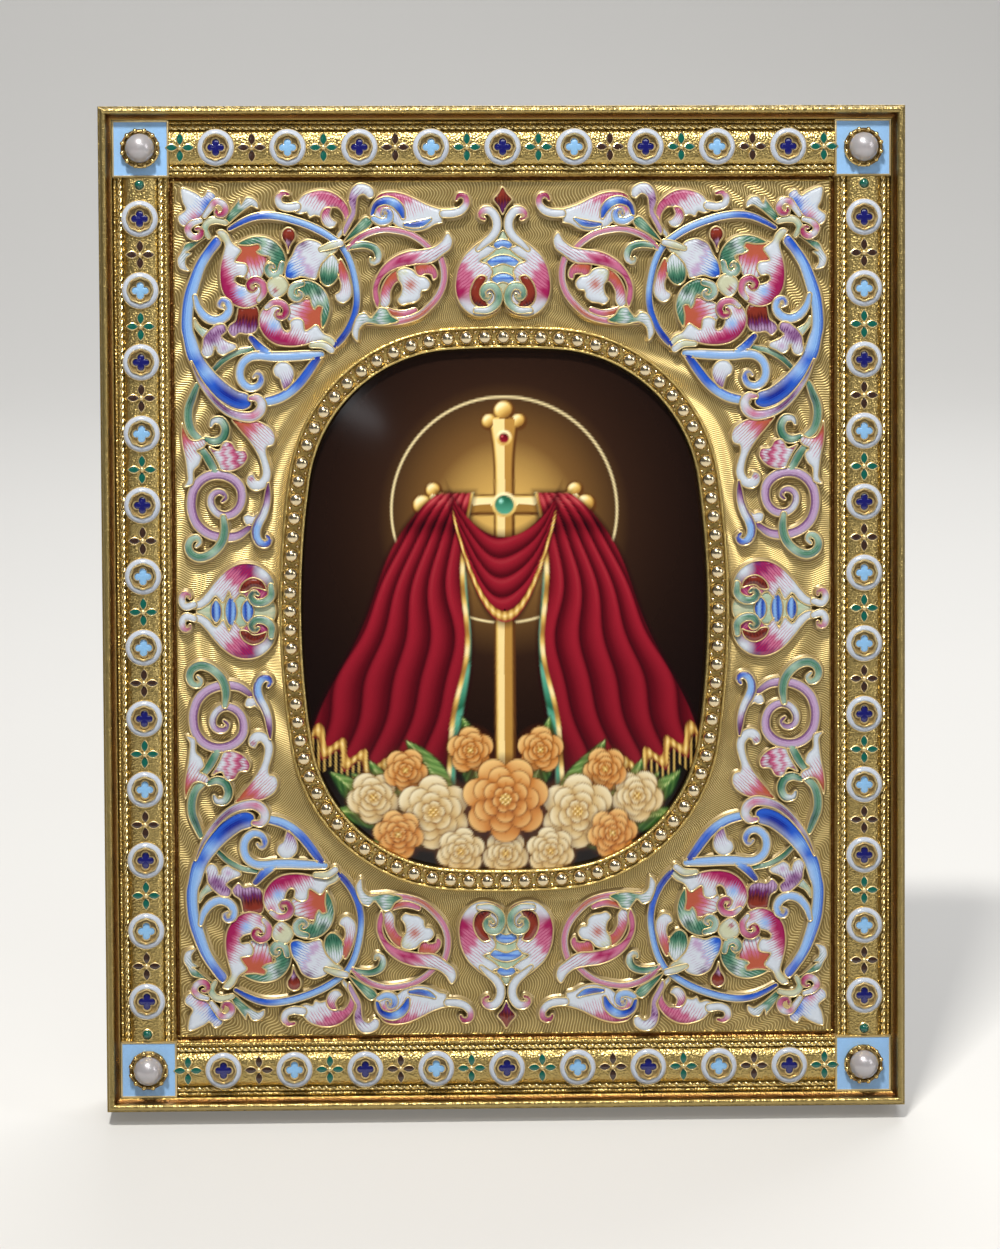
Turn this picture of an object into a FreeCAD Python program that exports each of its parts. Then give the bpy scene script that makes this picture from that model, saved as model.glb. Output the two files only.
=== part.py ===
"""Standing table icon: a domed enamel plaque in a beaded bezel, on a gilt panel with
scrollwork castings, in a border of rails, rope wires, roundels, flowers and pearl blocks,
with boards behind and a folding strut. Lengths are in millimetres.

Everything is drawn lying on its back: x to the right, y up the picture and z towards the
viewer, with z 0 at the back board's rear face. stand() then sets it up, leaning back on
its lower rear edge, with +Z up and the front towards -Y."""

import math
import os

import FreeCAD, Part

os.makedirs("parts", exist_ok=True)

# Whole frame
frame_width = 160.0
frame_height = 200.0
frame_depth = 18.0
lean_degrees = 10.0
overrun = 5.0

# Outer moulding
moulding_width = 2.6
lip_width = 0.4
lip_drop = 1.0
crest_radius = 0.6
crest_steps = 6
cove_drop = 1.9
cove_sag = 0.35

# Boards and panel
back_board_thickness = 3.0
core_board_thickness = 9.0
board_clearance = 0.15
panel_thickness = 1.0
panel_groove = 1.25
border_gap = 0.05

# Rails
rail_width = 10.8
rail_seat_height = 2.0
rail_edge_height = 2.6
rail_edge_width = 0.7
field_width = 7.0
field_crest_width = 5.3
field_rise = 1.6
field_shoulder_rise = 1.2
field_shoulder_inset = 0.3

# Rope wires
wire_diameter = 0.8
wire_spacing = 8.0
wire_sides = 8

# Roundels, flowers and studs
roundel_diameter = 7.4
roundel_height = 1.3
roundel_lip_diameter = 4.6
roundel_cup_diameter = 3.4
roundel_cup_depth = 0.7
roundel_sides = 8
roundel_count_across = 9
roundel_count_up = 12
across_end_share = 0.31
up_end_share = 0.14
flower_span = 5.3
flower_height = 1.3
petal_edge_height = 0.5
petal_root_radius = 0.95
stud_diameter = 1.9
stud_collar_diameter = 2.4
stud_collar_height = 0.4
stud_height = 1.2
stud_sides = 6

# Corner blocks, collets and pearls
block_side = 11.25
block_height = 4.0
block_rim = 0.45
block_recess = 0.6
enamel_thickness = 0.5
enamel_clearance = 0.03
collet_diameter = 8.1
collet_notch = 0.45
collet_height = 1.4
collet_clearance = 0.06
collet_claws = 12
pearl_diameter = 6.0
pearl_cut = 1.8
pearl_sides = 12
pearl_levels = 4
pearl_cap_share = 0.5

# Oval opening, plaque and bezel
opening_half_width = 40.6
end_field_height = 33.1
side_radius = 180.0
end_radius = 175.0
corner_radius = 30.0
bezel_width = 4.4
bezel_floor_height = 1.3
bezel_rim_height = 2.3
bezel_rim_width = 0.7
plaque_flange = 1.4
plaque_clearance = 0.05
dome_rim_height = 0.5
dome_rise = 2.9
dome_inset = 25.0
dome_shares = (0.2, 0.5, 1.0)
bead_diameter = 2.5
bead_height = 1.9
bead_crown_diameter = 1.3
bead_line = 2.2
bead_count = 88
bead_sides = 5
corner_steps = 6
side_steps = 3

# Scrollwork castings
scroll_height = 1.8
ornament_clearance = 0.25
palmette_height = 2.0

# Back fasteners
screw_head_diameter = 4.4
screw_head_height = 0.9
screw_shank_diameter = 2.0
screw_length = 8.0
screw_edge_distance = 9.0
screw_clearance = 0.05
screw_sides = 6

# Hinge and strut
hinge_height = 140.0
pin_diameter = 2.0
pin_fit = 0.02
pin_running_clearance = 0.12
pin_offset = 3.4
barrel_diameter = 4.4
barrel_length = 16.0
barrel_gap = 0.3
knuckle_length = 5.5
hinge_plate_thickness = 1.0
hinge_plate_below = 9.0
hinge_plate_above = 8.0
hinge_screw_head_diameter = 2.6
hinge_screw_head_height = 0.5
hinge_screw_crown_diameter = 1.8
hinge_screw_rise = 5.2
strap_thickness = 1.0
strap_length = 18.0
stop_gap = 0.02
strut_open_degrees = 20.0
strut_thickness = 3.0
strut_top_width = 26.0
strut_foot_width = 46.0
strut_top_gap = 3.5
foot_pad_thickness = 1.5

# Levels worked out from the thicknesses
core_top = back_board_thickness + core_board_thickness
panel_top = core_top + panel_thickness
rail_seat = core_top + rail_seat_height
field_top = rail_seat + field_rise
enamel_top = core_top + block_height - block_recess + enamel_thickness
bezel_floor = panel_top + bezel_floor_height

# Border lines, each a distance in from the frame's outer edge
border_start = moulding_width + border_gap
rail_line = border_start + rail_width / 2
block_line = border_start + block_side / 2
rail_start = border_start + block_side + border_gap
panel_start = border_start + rail_width + panel_groove
panel_width = frame_width - 2 * panel_start
panel_height = frame_height - 2 * panel_start
middle_y = frame_height / 2
opening_half_height = panel_height / 2 - end_field_height
rail_across = frame_width - 2 * rail_start
rail_up = frame_height - 2 * rail_start

# The ornament's places are counted from the frame's middle, in shares that meet the
# bezel's outer edge and the panel's edge at these values. Each span between stretches
# with the part that it lies on.
across_bezel_share = 45.0
across_edge_share = 65.3
up_bezel_share = 56.6
up_edge_share = 85.3

# Scroll strokes of one quarter, as (across, up, width) places along each middle line
ribbon_shares = [
    # Thin ring round the upper spray, ending below the shelf scroll
    [(52.5, 77, 0.9), (47, 78.7, 1.3), (39.5, 77.2, 1.4), (32.3, 72.6, 1.3), (29, 65.5, 1.2),
     (29.8, 58.2, 1.2), (34, 52.6, 1.4), (40, 46.5, 1.6), (46.5, 41.6, 1.3)],
    # Broad scroll on the outer side, and the volute that branches off inside it
    [(56.5, 74, 1.5), (61, 67, 2.6), (62.8, 58.5, 2.5), (61, 50, 3.4), (56.5, 44, 3.8), (50.6, 41.2, 3.4)],
    [(61.3, 62.5, 1.6), (58.4, 58.2, 1.6), (54.8, 60, 1.5), (55.8, 61.8, 1.2)],
    # Green spray over the medallion
    [(53, 73.2, 0.8), (47.5, 73, 3), (44.8, 69, 3.2), (46.4, 67.3, 2)],
    # Lilac leaf on the inner side
    [(32.5, 72.4, 1.4), (37.5, 71.4, 4), (42.9, 66.5, 2.4)],
    # Bud under the medallion
    [(50.6, 60.6, 3), (51, 57.6, 4.8), (53, 54.6, 2.6)],
    # Fleur on the outer side
    [(61.4, 57.6, 1), (57.6, 53.4, 5.6), (52.6, 52.6, 1.2)],
    # Shelf scroll, and the petal under it
    [(37, 50.7, 1.9), (48, 50.9, 1.8), (51.6, 49.4, 1.8), (52, 46.4, 1.8), (49.4, 44.8, 1.5)],
    [(44, 50, 3.2), (43.4, 43.4, 2.2)],
    # Outer stem down to its leaf, and the curl beside it
    [(60.4, 47, 1.6), (62.6, 41, 1.6), (61.2, 34.6, 1.6)],
    [(62.8, 36, 2.2), (62.4, 30.6, 3.4), (63, 25.6, 1)],
    [(61, 34.4, 1.4), (56.4, 34.4, 1.6), (57.6, 37.8, 1.4)],
    # Coral leaf
    [(56.5, 42, 1.2), (53, 37.8, 2), (49, 35.4, 4.2), (47.6, 30, 1.8), (47.6, 25.6, 1.3), (50.7, 26, 1.2)],
    # Bud, and the stem that ties it to the spiral
    [(60.4, 33, 1.4), (54.6, 30.8, 5), (51.4, 30.6, 1.6)],
    [(58, 27.2, 1.6), (60.2, 33, 1.6)],
    # Lilac spiral
    [(50.2, 17.4, 1.4), (55.3, 14.8, 1.8), (61, 17, 1.8), (62.4, 22, 1.8), (59, 26.8, 1.8),
     (54, 26.2, 1.8), (52.6, 21.6, 1.6), (56.2, 19.2, 1.5), (57.2, 22.8, 1.3)],
    # Curl below the spiral, and the hook on its inner side
    [(55.6, 17.6, 1.6), (57, 12.6, 1.6), (61.6, 10.8, 1.6), (62, 14.2, 1.4)],
    [(46.9, 26.6, 1.2), (47.4, 21, 1.6), (49.5, 15.6, 1.5), (46.8, 14, 1.2)],
    # Wave leaf along the top
    [(25.4, 78.4, 3.6), (21.6, 79.8, 6.8), (15.6, 78.4, 5.4), (10.4, 79, 2), (7.6, 81.2, 1.4)],
    # Pink leaf over the ring
    [(43.2, 83, 1.2), (44.4, 80.8, 1.4), (38, 81, 3.8), (33.4, 81, 4.4), (31.2, 77.6, 1.8), (32.4, 73, 1.2)],
    # Bud stem, and the thin stem over the rose scroll
    [(26.4, 83.4, 2), (29.4, 82, 2.4), (31.8, 74, 1.2)],
    [(31.5, 72.2, 1.2), (22, 75.6, 1.2), (13.6, 71.8, 1.2)],
    # Rose scroll: thin ring, broad crescent, inner leaf and outer tail
    [(12.4, 71, 1.2), (11.8, 65.6, 1.2), (15.6, 59.4, 1.3), (23.6, 57.6, 2)],
    [(10.8, 74.4, 1.4), (15.6, 70.6, 2.8), (23, 67.2, 3.2), (25, 60.6, 2.2), (24.2, 57.6, 1.6)],
    [(21.6, 67.2, 1.6), (17.6, 63.8, 5), (21.6, 58.4, 1.2)],
    [(23.4, 58, 2.6), (27, 57.4, 2.4), (29.1, 53.9, 1)],
    # Corner sprays
    [(54.6, 75.8, 1.4), (57.2, 80.8, 3)],
    [(56.6, 74.8, 1.4), (61.8, 76.2, 3)],
    [(56.8, 79.2, 2.4), (60.6, 80.8, 5.4), (63.4, 83.4, 1)],
    [(59, 77, 2.6), (64.2, 78.6, 1.6)],
    [(55.4, 77.6, 1.6), (53, 80.2, 2.4), (49.4, 81.4, 1)],
    [(58.6, 74, 1.6), (61.4, 72.4, 2.4), (63.9, 68.6, 1)],
]

# The inner spray's two great leaves mirror each other over the line where across and up
# add to this share
spray_mirror_share = 109
spray_leaf_shares = [
    [(56.4, 75, 1.2), (54.2, 68.6, 4.2), (52, 62.6, 3.6), (48.8, 64, 2.2)],
    [(52.8, 72.6, 1), (50, 69.4, 3.4), (46.2, 64.4, 2.4)],
]

# Palmette strokes, as (along the axis from the middle, off the axis, width). Those on the
# axis stand by themselves.
end_stroke_shares = [
    [(77.4, 0.2, 1.4), (79.8, 2.6, 1.4), (78.6, 5, 0.8)],
    [(79, 2.2, 1), (73.4, 4.2, 1.8), (67, 8.4, 2), (61.6, 7.8, 2), (59.8, 3.4, 2), (61.8, 0, 2)],
    [(61, 1, 1.6), (63.8, 2.6, 1.5), (62.6, 4.2, 1.4)],
    [(68.6, 7.2, 1), (66, 4, 1.6), (67, 0, 2)],
]
end_axis_shares = [
    [(75.6, 0, 1.6), (70.6, 0, 6.6), (65.4, 0, 4)],
    [(76.8, 0, 1), (81.6, 0, 3.6), (84, 0, 0.4)],
]
side_stroke_shares = [
    [(62.6, 0, 1.4), (63.4, 3.6, 1.3), (64.6, 2.2, 0.8)],
    [(64, 0.4, 1.2), (59, 3.2, 1.8), (54, 8, 2), (48.8, 8, 2), (46.4, 4, 1.8), (48.6, 1.6, 1.4)],
    [(52.4, 6.8, 1), (52, 0, 2.6)],
]
side_axis_shares = [
    [(63.4, 0, 1), (55.8, 0, 6.8), (50.6, 0, 4)],
    [(48.4, 0, 1.4), (50.6, 0, 5.6)],
]

# Back screws, as shares of the way from the middle to the outermost ones
back_screw_shares = [(-1, -1), (1, -1), (-1, 0), (1, 0), (-1, 1), (1, 1)]


def vector(x, y, z=0):
    return FreeCAD.Vector(x, y, z)


def polygon_wire(points, z):
    corners = [vector(x, y, z) for x, y in points]
    return Part.makePolygon(corners + corners[:1])


def prism(points, z, height):
    """A solid of the outline points, from z upwards."""
    return Part.Face(polygon_wire(points, z)).extrude(vector(0, 0, height))


def block(x0, x1, y0, y1, z0, z1):
    return Part.makeBox(x1 - x0, y1 - y0, z1 - z0, vector(x0, y0, z0))


def regular_points(radius, sides, x=0, y=0):
    """A polygon whose corners lie on a circle, with a flat side towards +x."""
    turns = [2 * math.pi * (k + 0.5) / sides for k in range(sides)]
    return [(x + radius * math.cos(t), y + radius * math.sin(t)) for t in turns]


def lathe(profile, sides, x, y):
    """A faceted turned solid from (radius, z) places, bottom first."""
    shapes = []
    for (r0, z0), (r1, z1) in zip(profile, profile[1:]):
        shapes.append(ruled_band(regular_points(r0, sides, x, y), z0, regular_points(r1, sides, x, y), z1))
    faces = [face for band in shapes for face in band]
    faces.append(Part.Face(polygon_wire(regular_points(profile[0][0], sides, x, y), profile[0][1])))
    faces.append(Part.Face(polygon_wire(regular_points(profile[-1][0], sides, x, y), profile[-1][1])))
    return solid_of(faces)


def ruled_band(lower, z0, upper, z1):
    """Flat faces between two like polygons at two levels."""
    faces = []
    count = len(lower)
    for k in range(count):
        n = (k + 1) % count
        corners = [vector(*lower[k], z0), vector(*lower[n], z0), vector(*upper[n], z1), vector(*upper[k], z1)]
        faces.append(Part.Face(Part.makePolygon(corners + corners[:1])))
    return faces


def solid_of(faces):
    solid = Part.makeSolid(Part.makeShell(faces))
    if solid.Volume < 0:
        solid.reverse()
    return solid


def group(solids):
    return Part.makeCompound(solids)


def fused(solids):
    """One clean solid of pieces that meet or overlap."""
    if len(solids) == 1:
        return solids[0]
    return solids[0].multiFuse(solids[1:]).removeSplitter()


def turned(shape, degrees, x=0, y=0):
    """A copy turned about the picture's normal."""
    copy = shape.copy()
    copy.rotate(vector(x, y, 0), vector(0, 0, 1), degrees)
    return copy


def mirrored_x(shape):
    return shape.mirror(vector(0, 0, 0), vector(1, 0, 0))


def mirrored_y(shape):
    return shape.mirror(vector(0, middle_y, 0), vector(0, 1, 0))


# Outlines


def oval_corner():
    """Centre of the arc that rounds the upper right corner, and the tangent directions
    where it meets the side arc and the end arc."""
    side_centre = vector(opening_half_width - side_radius, 0)
    end_centre = vector(0, opening_half_height - end_radius)
    side_reach = side_radius - corner_radius
    end_reach = end_radius - corner_radius
    between = end_centre - side_centre
    span = between.Length
    along = (side_reach ** 2 - end_reach ** 2 + span ** 2) / (2 * span)
    off = math.sqrt(side_reach ** 2 - along ** 2)
    unit = between / span
    centre = side_centre + unit * along + vector(-unit.y, unit.x) * off
    side_turn = math.atan2(centre.y - side_centre.y, centre.x - side_centre.x)
    end_turn = math.atan2(centre.y - end_centre.y, centre.x - end_centre.x)
    return centre, side_turn, end_turn


def arc_points(x, y, radius, start, end, steps):
    """Places along an arc, with its first end and without its last."""
    turns = [start + (end - start) * k / steps for k in range(steps)]
    return [(x + radius * math.cos(t), y + radius * math.sin(t)) for t in turns]


def oval_points(offset):
    """The opening's outline of eight tangent arcs, moved out by offset."""
    centre, side_turn, end_turn = oval_corner()
    side_x = opening_half_width - side_radius
    end_y = opening_half_height - end_radius
    left_turn = math.pi - side_turn
    half_arcs = (
        (side_x, 0, side_radius, -side_turn, side_turn, side_steps),
        (centre.x, centre.y, corner_radius, side_turn, end_turn, corner_steps),
        (0, end_y, end_radius, end_turn, math.pi - end_turn, side_steps),
        (-centre.x, centre.y, corner_radius, math.pi - end_turn, left_turn, corner_steps),
    )
    points = []
    for x, y, radius, start, end, steps in half_arcs:
        points += arc_points(x, y, radius + offset, start, end, steps)
    points += [(-x, -y) for x, y in points]
    return [(x, middle_y + y) for x, y in points]


def oval_prism(offset, z, height):
    return prism(oval_points(offset), z, height)


def ribbon_points(places):
    """The outline of a tapered stroke through (x, y, width) places."""
    left = []
    right = []
    for k, (x, y, width) in enumerate(places):
        x0, y0, _ = places[max(k - 1, 0)]
        x1, y1, _ = places[min(k + 1, len(places) - 1)]
        length = math.hypot(x1 - x0, y1 - y0)
        nx = -(y1 - y0) / length * width / 2
        ny = (x1 - x0) / length * width / 2
        left.append((x + nx, y + ny))
        right.append((x - nx, y - ny))
    return left + right[::-1]


def stretched(share, bezel_share, edge_share, bezel_edge, panel_edge):
    """A place between the middle and the bezel's edge, or from there to the panel's."""
    if abs(share) <= bezel_share:
        return share / bezel_share * bezel_edge
    beyond = (abs(share) - bezel_share) / (edge_share - bezel_share)
    return math.copysign(bezel_edge + beyond * (panel_edge - bezel_edge), share)


def on_panel(points):
    """Places in shares, put on the panel as it is."""
    side = opening_half_width + bezel_width
    end = opening_half_height + bezel_width
    return [
        (stretched(x, across_bezel_share, across_edge_share, side, panel_width / 2),
         middle_y + stretched(y, up_bezel_share, up_edge_share, end, panel_height / 2))
        for x, y in points
    ]


# Outer moulding


def moulding_section():
    """The section across the bottom length: y in from the outer edge, z forwards."""
    lip = frame_depth - lip_drop
    crest_z = frame_depth - crest_radius
    crest_middle = lip_width + crest_radius
    crest_end = crest_middle + crest_radius
    foot = frame_depth - cove_drop
    places = [(moulding_width, 0), (0, 0), (0, lip), (lip_width, lip)]
    for k in range(crest_steps + 1):
        turn = math.pi * (1 - k / crest_steps)
        places.append((crest_middle + crest_radius * math.cos(turn), crest_z + crest_radius * math.sin(turn)))
    places.append(((crest_end + moulding_width) / 2 - cove_sag, (crest_z + foot) / 2 - cove_sag))
    places.append((moulding_width, foot))
    corners = [vector(0, y, z) for y, z in places]
    return Part.Face(Part.makePolygon(corners + corners[:1]))


def moulding_length(length):
    """A length of moulding along x, mitred at both ends, its outer edge on y 0."""
    bar = moulding_section().extrude(vector(length, 0, 0))
    bar.translate(vector(-length / 2, 0, 0))
    half = length / 2
    reach = moulding_width + overrun
    outline = [(-half, 0), (half, 0), (half - reach, reach), (-half + reach, reach)]
    return bar.common(prism(outline, -overrun, frame_depth + 2 * overrun))


def outer_mouldings():
    bottom = moulding_length(frame_width)
    side = turned(moulding_length(frame_height), 90)
    side.translate(vector(frame_width / 2, middle_y, 0))
    return {
        "outer_moulding_bottom": bottom,
        "outer_moulding_top": mirrored_y(bottom),
        "outer_moulding_right": side,
        "outer_moulding_left": mirrored_x(side),
    }


# Border rails and what they carry


def rail_section():
    """Half-round field between two wire seats, with raised edges: y across, z forwards."""
    half = rail_width / 2
    seat = half - rail_edge_width
    field = field_width / 2
    crest = field_crest_width / 2
    shoulder = vector(0, field - field_shoulder_inset, rail_seat + field_shoulder_rise)
    edge_top = core_top + rail_edge_height

    def side(sign):
        return [vector(0, sign * y, z) for y, z in (
            (half, core_top), (half, edge_top), (seat, rail_seat), (field, rail_seat), (crest, field_top))]

    low = side(-1)
    high = side(1)
    edges = [Part.makeLine(low[0], high[0])]
    for points, sign in ((high, 1), (low, -1)):
        edges.extend(Part.makeLine(p, q) for p, q in zip(points[:3], points[1:4]))
        edges.append(Part.Arc(points[3], vector(0, sign * shoulder.y, shoulder.z), points[4]).toShape())
    edges.append(Part.makeLine(high[4], low[4]))
    return Part.Face(Part.Wire(Part.__sortEdges__(edges)))


def bar_along_x(section, length):
    bar = section.extrude(vector(length, 0, 0))
    bar.translate(vector(-length / 2, 0, 0))
    return bar


def wire_pair(length):
    """Two straight cores of rope wire in the seats of one rail."""
    radius = wire_diameter / 2
    wires = []
    for side in (-1, 1):
        centre_y = side * wire_spacing / 2
        centre_z = rail_seat + radius * math.cos(math.pi / wire_sides)
        ring = [(centre_y + y, centre_z + z) for y, z in regular_points(radius, wire_sides)]
        corners = [vector(-length / 2, y, z) for y, z in ring]
        wires.append(Part.Face(Part.makePolygon(corners + corners[:1])).extrude(vector(length, 0, 0)))
    return group(wires)


def roundel(x, y):
    """A convex enamelled boss with a sunk cup in its middle."""
    top = field_top + roundel_height
    profile = [
        (roundel_diameter / 2, field_top),
        (roundel_lip_diameter / 2, top),
        (roundel_cup_diameter / 2, top - roundel_cup_depth),
    ]
    return lathe(profile, roundel_sides, x, y)


def flower_outline(x, y):
    """Four pointed petals on the axes, with a valley between each pair."""
    points = []
    for k in range(8):
        radius = petal_root_radius if k % 2 else flower_span / 2
        turn = math.pi * k / 4
        points.append((x + radius * math.cos(turn), y + radius * math.sin(turn)))
    return points


def flower(x, y):
    """Petals with a ridge along each, rising to the flower's centre."""
    outline = flower_outline(x, y)
    edge_top = field_top + petal_edge_height
    centre = vector(x, y, field_top + flower_height)
    faces = ruled_band(outline, field_top, outline, edge_top)
    faces.append(Part.Face(polygon_wire(outline, field_top)))
    for p, q in zip(outline, outline[1:] + outline[:1]):
        corners = [vector(*p, edge_top), vector(*q, edge_top), centre]
        faces.append(Part.Face(Part.makePolygon(corners + corners[:1])))
    return solid_of(faces)


def stud(x, y):
    collar = stud_collar_diameter / 2
    return lathe([(collar, field_top), (collar, field_top + stud_collar_height),
                  (stud_diameter / 2, field_top + stud_height)], stud_sides, x, y)


def places_along(count, pitch):
    """Roundel places from the middle of a rail."""
    return [(k - (count - 1) / 2) * pitch for k in range(count)]


def border_side(name, length, roundel_places, flower_places, put):
    """One side of the border, drawn along x and put into place. A flower at the rail's
    end stops there."""
    flowers = group([flower(x, 0) for x in flower_places])
    over_rail = block(-length / 2, length / 2, -rail_width, rail_width, core_top, frame_depth)
    return {
        "rail_" + name: put(bar_along_x(rail_section(), length)),
        "rope_wires_" + name: put(wire_pair(length)),
        "roundels_" + name: put(group([roundel(x, 0) for x in roundel_places])),
        "flowers_" + name: put(flowers.common(over_rail)),
    }


def border():
    def put_at(x, y, degrees):
        def put(shape):
            copy = turned(shape, degrees)
            copy.translate(vector(x, y, 0))
            return copy
        return put

    side_x = frame_width / 2 - rail_line
    pitch = rail_across / (roundel_count_across + across_end_share)
    row = (places_along(roundel_count_across, pitch), places_along(roundel_count_across + 1, pitch))
    pitch = rail_up / (roundel_count_up + up_end_share)
    column = (places_along(roundel_count_up, pitch), places_along(roundel_count_up - 1, pitch))
    nodes = {}
    nodes.update(border_side("bottom", rail_across, *row, put_at(0, rail_line, 0)))
    nodes.update(border_side("top", rail_across, *row, put_at(0, frame_height - rail_line, 180)))
    nodes.update(border_side("left", rail_up, *column, put_at(-side_x, middle_y, 90)))
    nodes.update(border_side("right", rail_up, *column, put_at(side_x, middle_y, -90)))
    last_edge = column[0][-1] + roundel_diameter / 2
    stud_line = (last_edge + rail_up / 2) / 2
    studs = [stud(x, middle_y + y) for x in (-side_x, side_x) for y in (-stud_line, stud_line)]
    nodes["end_studs"] = group(studs)
    return nodes


# Corner blocks


def corner_places():
    x = frame_width / 2 - block_line
    return {
        "lower_left": (-x, block_line),
        "lower_right": (x, block_line),
        "upper_left": (-x, frame_height - block_line),
        "upper_right": (x, frame_height - block_line),
    }


def corner_block(x, y):
    half = block_side / 2
    inner = half - block_rim
    top = core_top + block_height
    body = block(x - half, x + half, y - half, y + half, core_top, top)
    return body.cut(block(x - inner, x + inner, y - inner, y + inner, top - block_recess, top + overrun))


def enamel_square(x, y):
    half = block_side / 2 - block_rim - enamel_clearance
    return block(x - half, x + half, y - half, y + half, enamel_top - enamel_thickness, enamel_top)


def collet(x, y):
    """A crown ring with one rounded claw between each pair of notches."""
    outer = collet_diameter / 2
    points = []
    for k in range(2 * collet_claws):
        radius = outer if k % 2 else outer - collet_notch
        turn = math.pi * k / collet_claws
        points.append((x + radius * math.cos(turn), y + radius * math.sin(turn)))
    seat = (pearl_diameter / 2 + collet_clearance) / math.cos(math.pi / collet_claws)
    bore = regular_points(seat, collet_claws, x, y)
    ring = prism(points, enamel_top, collet_height)
    return ring.cut(prism(bore, enamel_top - overrun, collet_height + 2 * overrun))


def pearl(x, y):
    """A faceted ball, cut flat where it sits in its collet."""
    radius = pearl_diameter / 2
    start = math.acos((pearl_cut - radius) / radius)
    centre = enamel_top + radius - pearl_cut
    profile = []
    for k in range(pearl_levels + 1):
        turn = start * (1 - k / (pearl_levels + pearl_cap_share))
        profile.append((radius * math.sin(turn), centre + radius * math.cos(turn)))
    return lathe(profile, pearl_sides, x, y)


def corners():
    nodes = {}
    for name, (x, y) in corner_places().items():
        nodes["corner_block_" + name] = corner_block(x, y)
        nodes["pearl_collet_" + name] = collet(x, y)
        nodes["pearl_" + name] = pearl(x, y)
    nodes["corner_enamels"] = group([enamel_square(x, y) for x, y in corner_places().values()])
    return nodes


# Panel, plaque and bezel


def inner_panel():
    half = panel_width / 2
    sheet = block(-half, half, panel_start, frame_height - panel_start, core_top, panel_top)
    hole = oval_prism(plaque_flange + plaque_clearance, core_top - overrun, panel_thickness + 2 * overrun)
    return sheet.cut(hole)


def enamel_plaque():
    """A flange held under the bezel, with a dome that swells through the opening."""
    flange = oval_prism(plaque_flange, core_top, panel_thickness)
    rim = -plaque_clearance
    rim_top = panel_top + dome_rim_height
    levels = [(rim, panel_top), (rim, rim_top)]
    for share in dome_shares:
        swell = math.sin(share * math.pi / 2) * (dome_rise - dome_rim_height)
        levels.append((rim - dome_inset * share, rim_top + swell))
    return fused([flange, oval_stack(levels)])


def oval_stack(levels):
    """A closed solid through oval outlines at (offset, z) levels, lowest first."""
    rings = [(oval_points(offset), z) for offset, z in levels]
    faces = []
    for (lower, z0), (upper, z1) in zip(rings, rings[1:]):
        faces += ruled_band(lower, z0, upper, z1)
    faces += [Part.Face(polygon_wire(*rings[0])), Part.Face(polygon_wire(*rings[-1]))]
    return solid_of(faces)


def bezel():
    """A channel for the beads between two raised edges."""
    levels = [
        (0, panel_top), (bezel_width, panel_top), (bezel_width, panel_top + bezel_rim_height),
        (bezel_width - bezel_rim_width, bezel_floor), (bezel_rim_width, bezel_floor),
        (0, panel_top + bezel_rim_height),
    ]
    rings = [(oval_points(offset), z) for offset, z in levels]
    faces = []
    for (lower, z0), (upper, z1) in zip(rings, rings[1:] + rings[:1]):
        faces += ruled_band(lower, z0, upper, z1)
    return solid_of(faces)


def bezel_beads():
    line = polygon_wire(oval_points(bead_line), bezel_floor)
    places = line.discretize(Number=bead_count + 1)[:-1]
    profile = [(bead_diameter / 2, bezel_floor), (bead_crown_diameter / 2, bezel_floor + bead_height)]
    return group([lathe(profile, bead_sides, place.x, place.y) for place in places])


# Scrollwork castings


def free_field(height):
    """The panel's free surface round the bezel, as a solid to trim castings with."""
    gap = ornament_clearance
    half = panel_width / 2 - gap
    low = panel_start + gap
    field = block(-half, half, low, frame_height - low, panel_top, panel_top + height)
    return field.cut(oval_prism(bezel_width + gap, panel_top - overrun, height + 2 * overrun))


def ribbons(tables, height):
    return [prism(on_panel(ribbon_points(shares)), panel_top, height) for shares in tables]


def mirrored_spray(tables):
    """The spray's second leaves, over its own slanting axis."""
    return [[(spray_mirror_share - y, spray_mirror_share - x, w) for x, y, w in shares] for shares in tables]


def scroll_quarter():
    """The upper right scroll casting."""
    tables = ribbon_shares + spray_leaf_shares + mirrored_spray(spray_leaf_shares)
    casting = fused(ribbons(tables, scroll_height))
    return casting.common(free_field(scroll_height))


def palmette(strokes, axis_strokes, upright):
    """A palmette from the strokes of one half and those on its axis."""
    tables = strokes + [[(along, -off, width) for along, off, width in places] for places in strokes]
    tables += axis_strokes
    if upright:
        tables = [[(off, along, width) for along, off, width in places] for places in tables]
    return fused(ribbons(tables, palmette_height)).common(free_field(palmette_height))


def castings():
    quarter = scroll_quarter()
    top = palmette(end_stroke_shares, end_axis_shares, True)
    right = palmette(side_stroke_shares, side_axis_shares, False)
    return {
        "scroll_upper_right": quarter,
        "scroll_upper_left": mirrored_x(quarter),
        "scroll_lower_right": mirrored_y(quarter),
        "scroll_lower_left": mirrored_y(mirrored_x(quarter)),
        "palmette_top": top,
        "palmette_bottom": mirrored_y(top),
        "palmette_right": right,
        "palmette_left": mirrored_x(right),
    }


# Boards and their screws


def back_screw_points():
    inset = moulding_width + screw_edge_distance
    x = frame_width / 2 - inset
    y = middle_y - inset
    return [(across * x, middle_y + up * y) for across, up in back_screw_shares]


def back_screw(x, y):
    """A screw driven forwards through the back board into the core."""
    head = screw_head_diameter / 2
    shank = screw_shank_diameter / 2
    profile = [(head, -screw_head_height), (head, 0), (shank, 0), (shank, screw_length)]
    return lathe(profile, screw_sides, x, y)


def back_screw_hole(x, y):
    outline = regular_points(screw_shank_diameter / 2 + screw_clearance, screw_sides, x, y)
    return prism(outline, -overrun, overrun + screw_length + screw_clearance)


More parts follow.
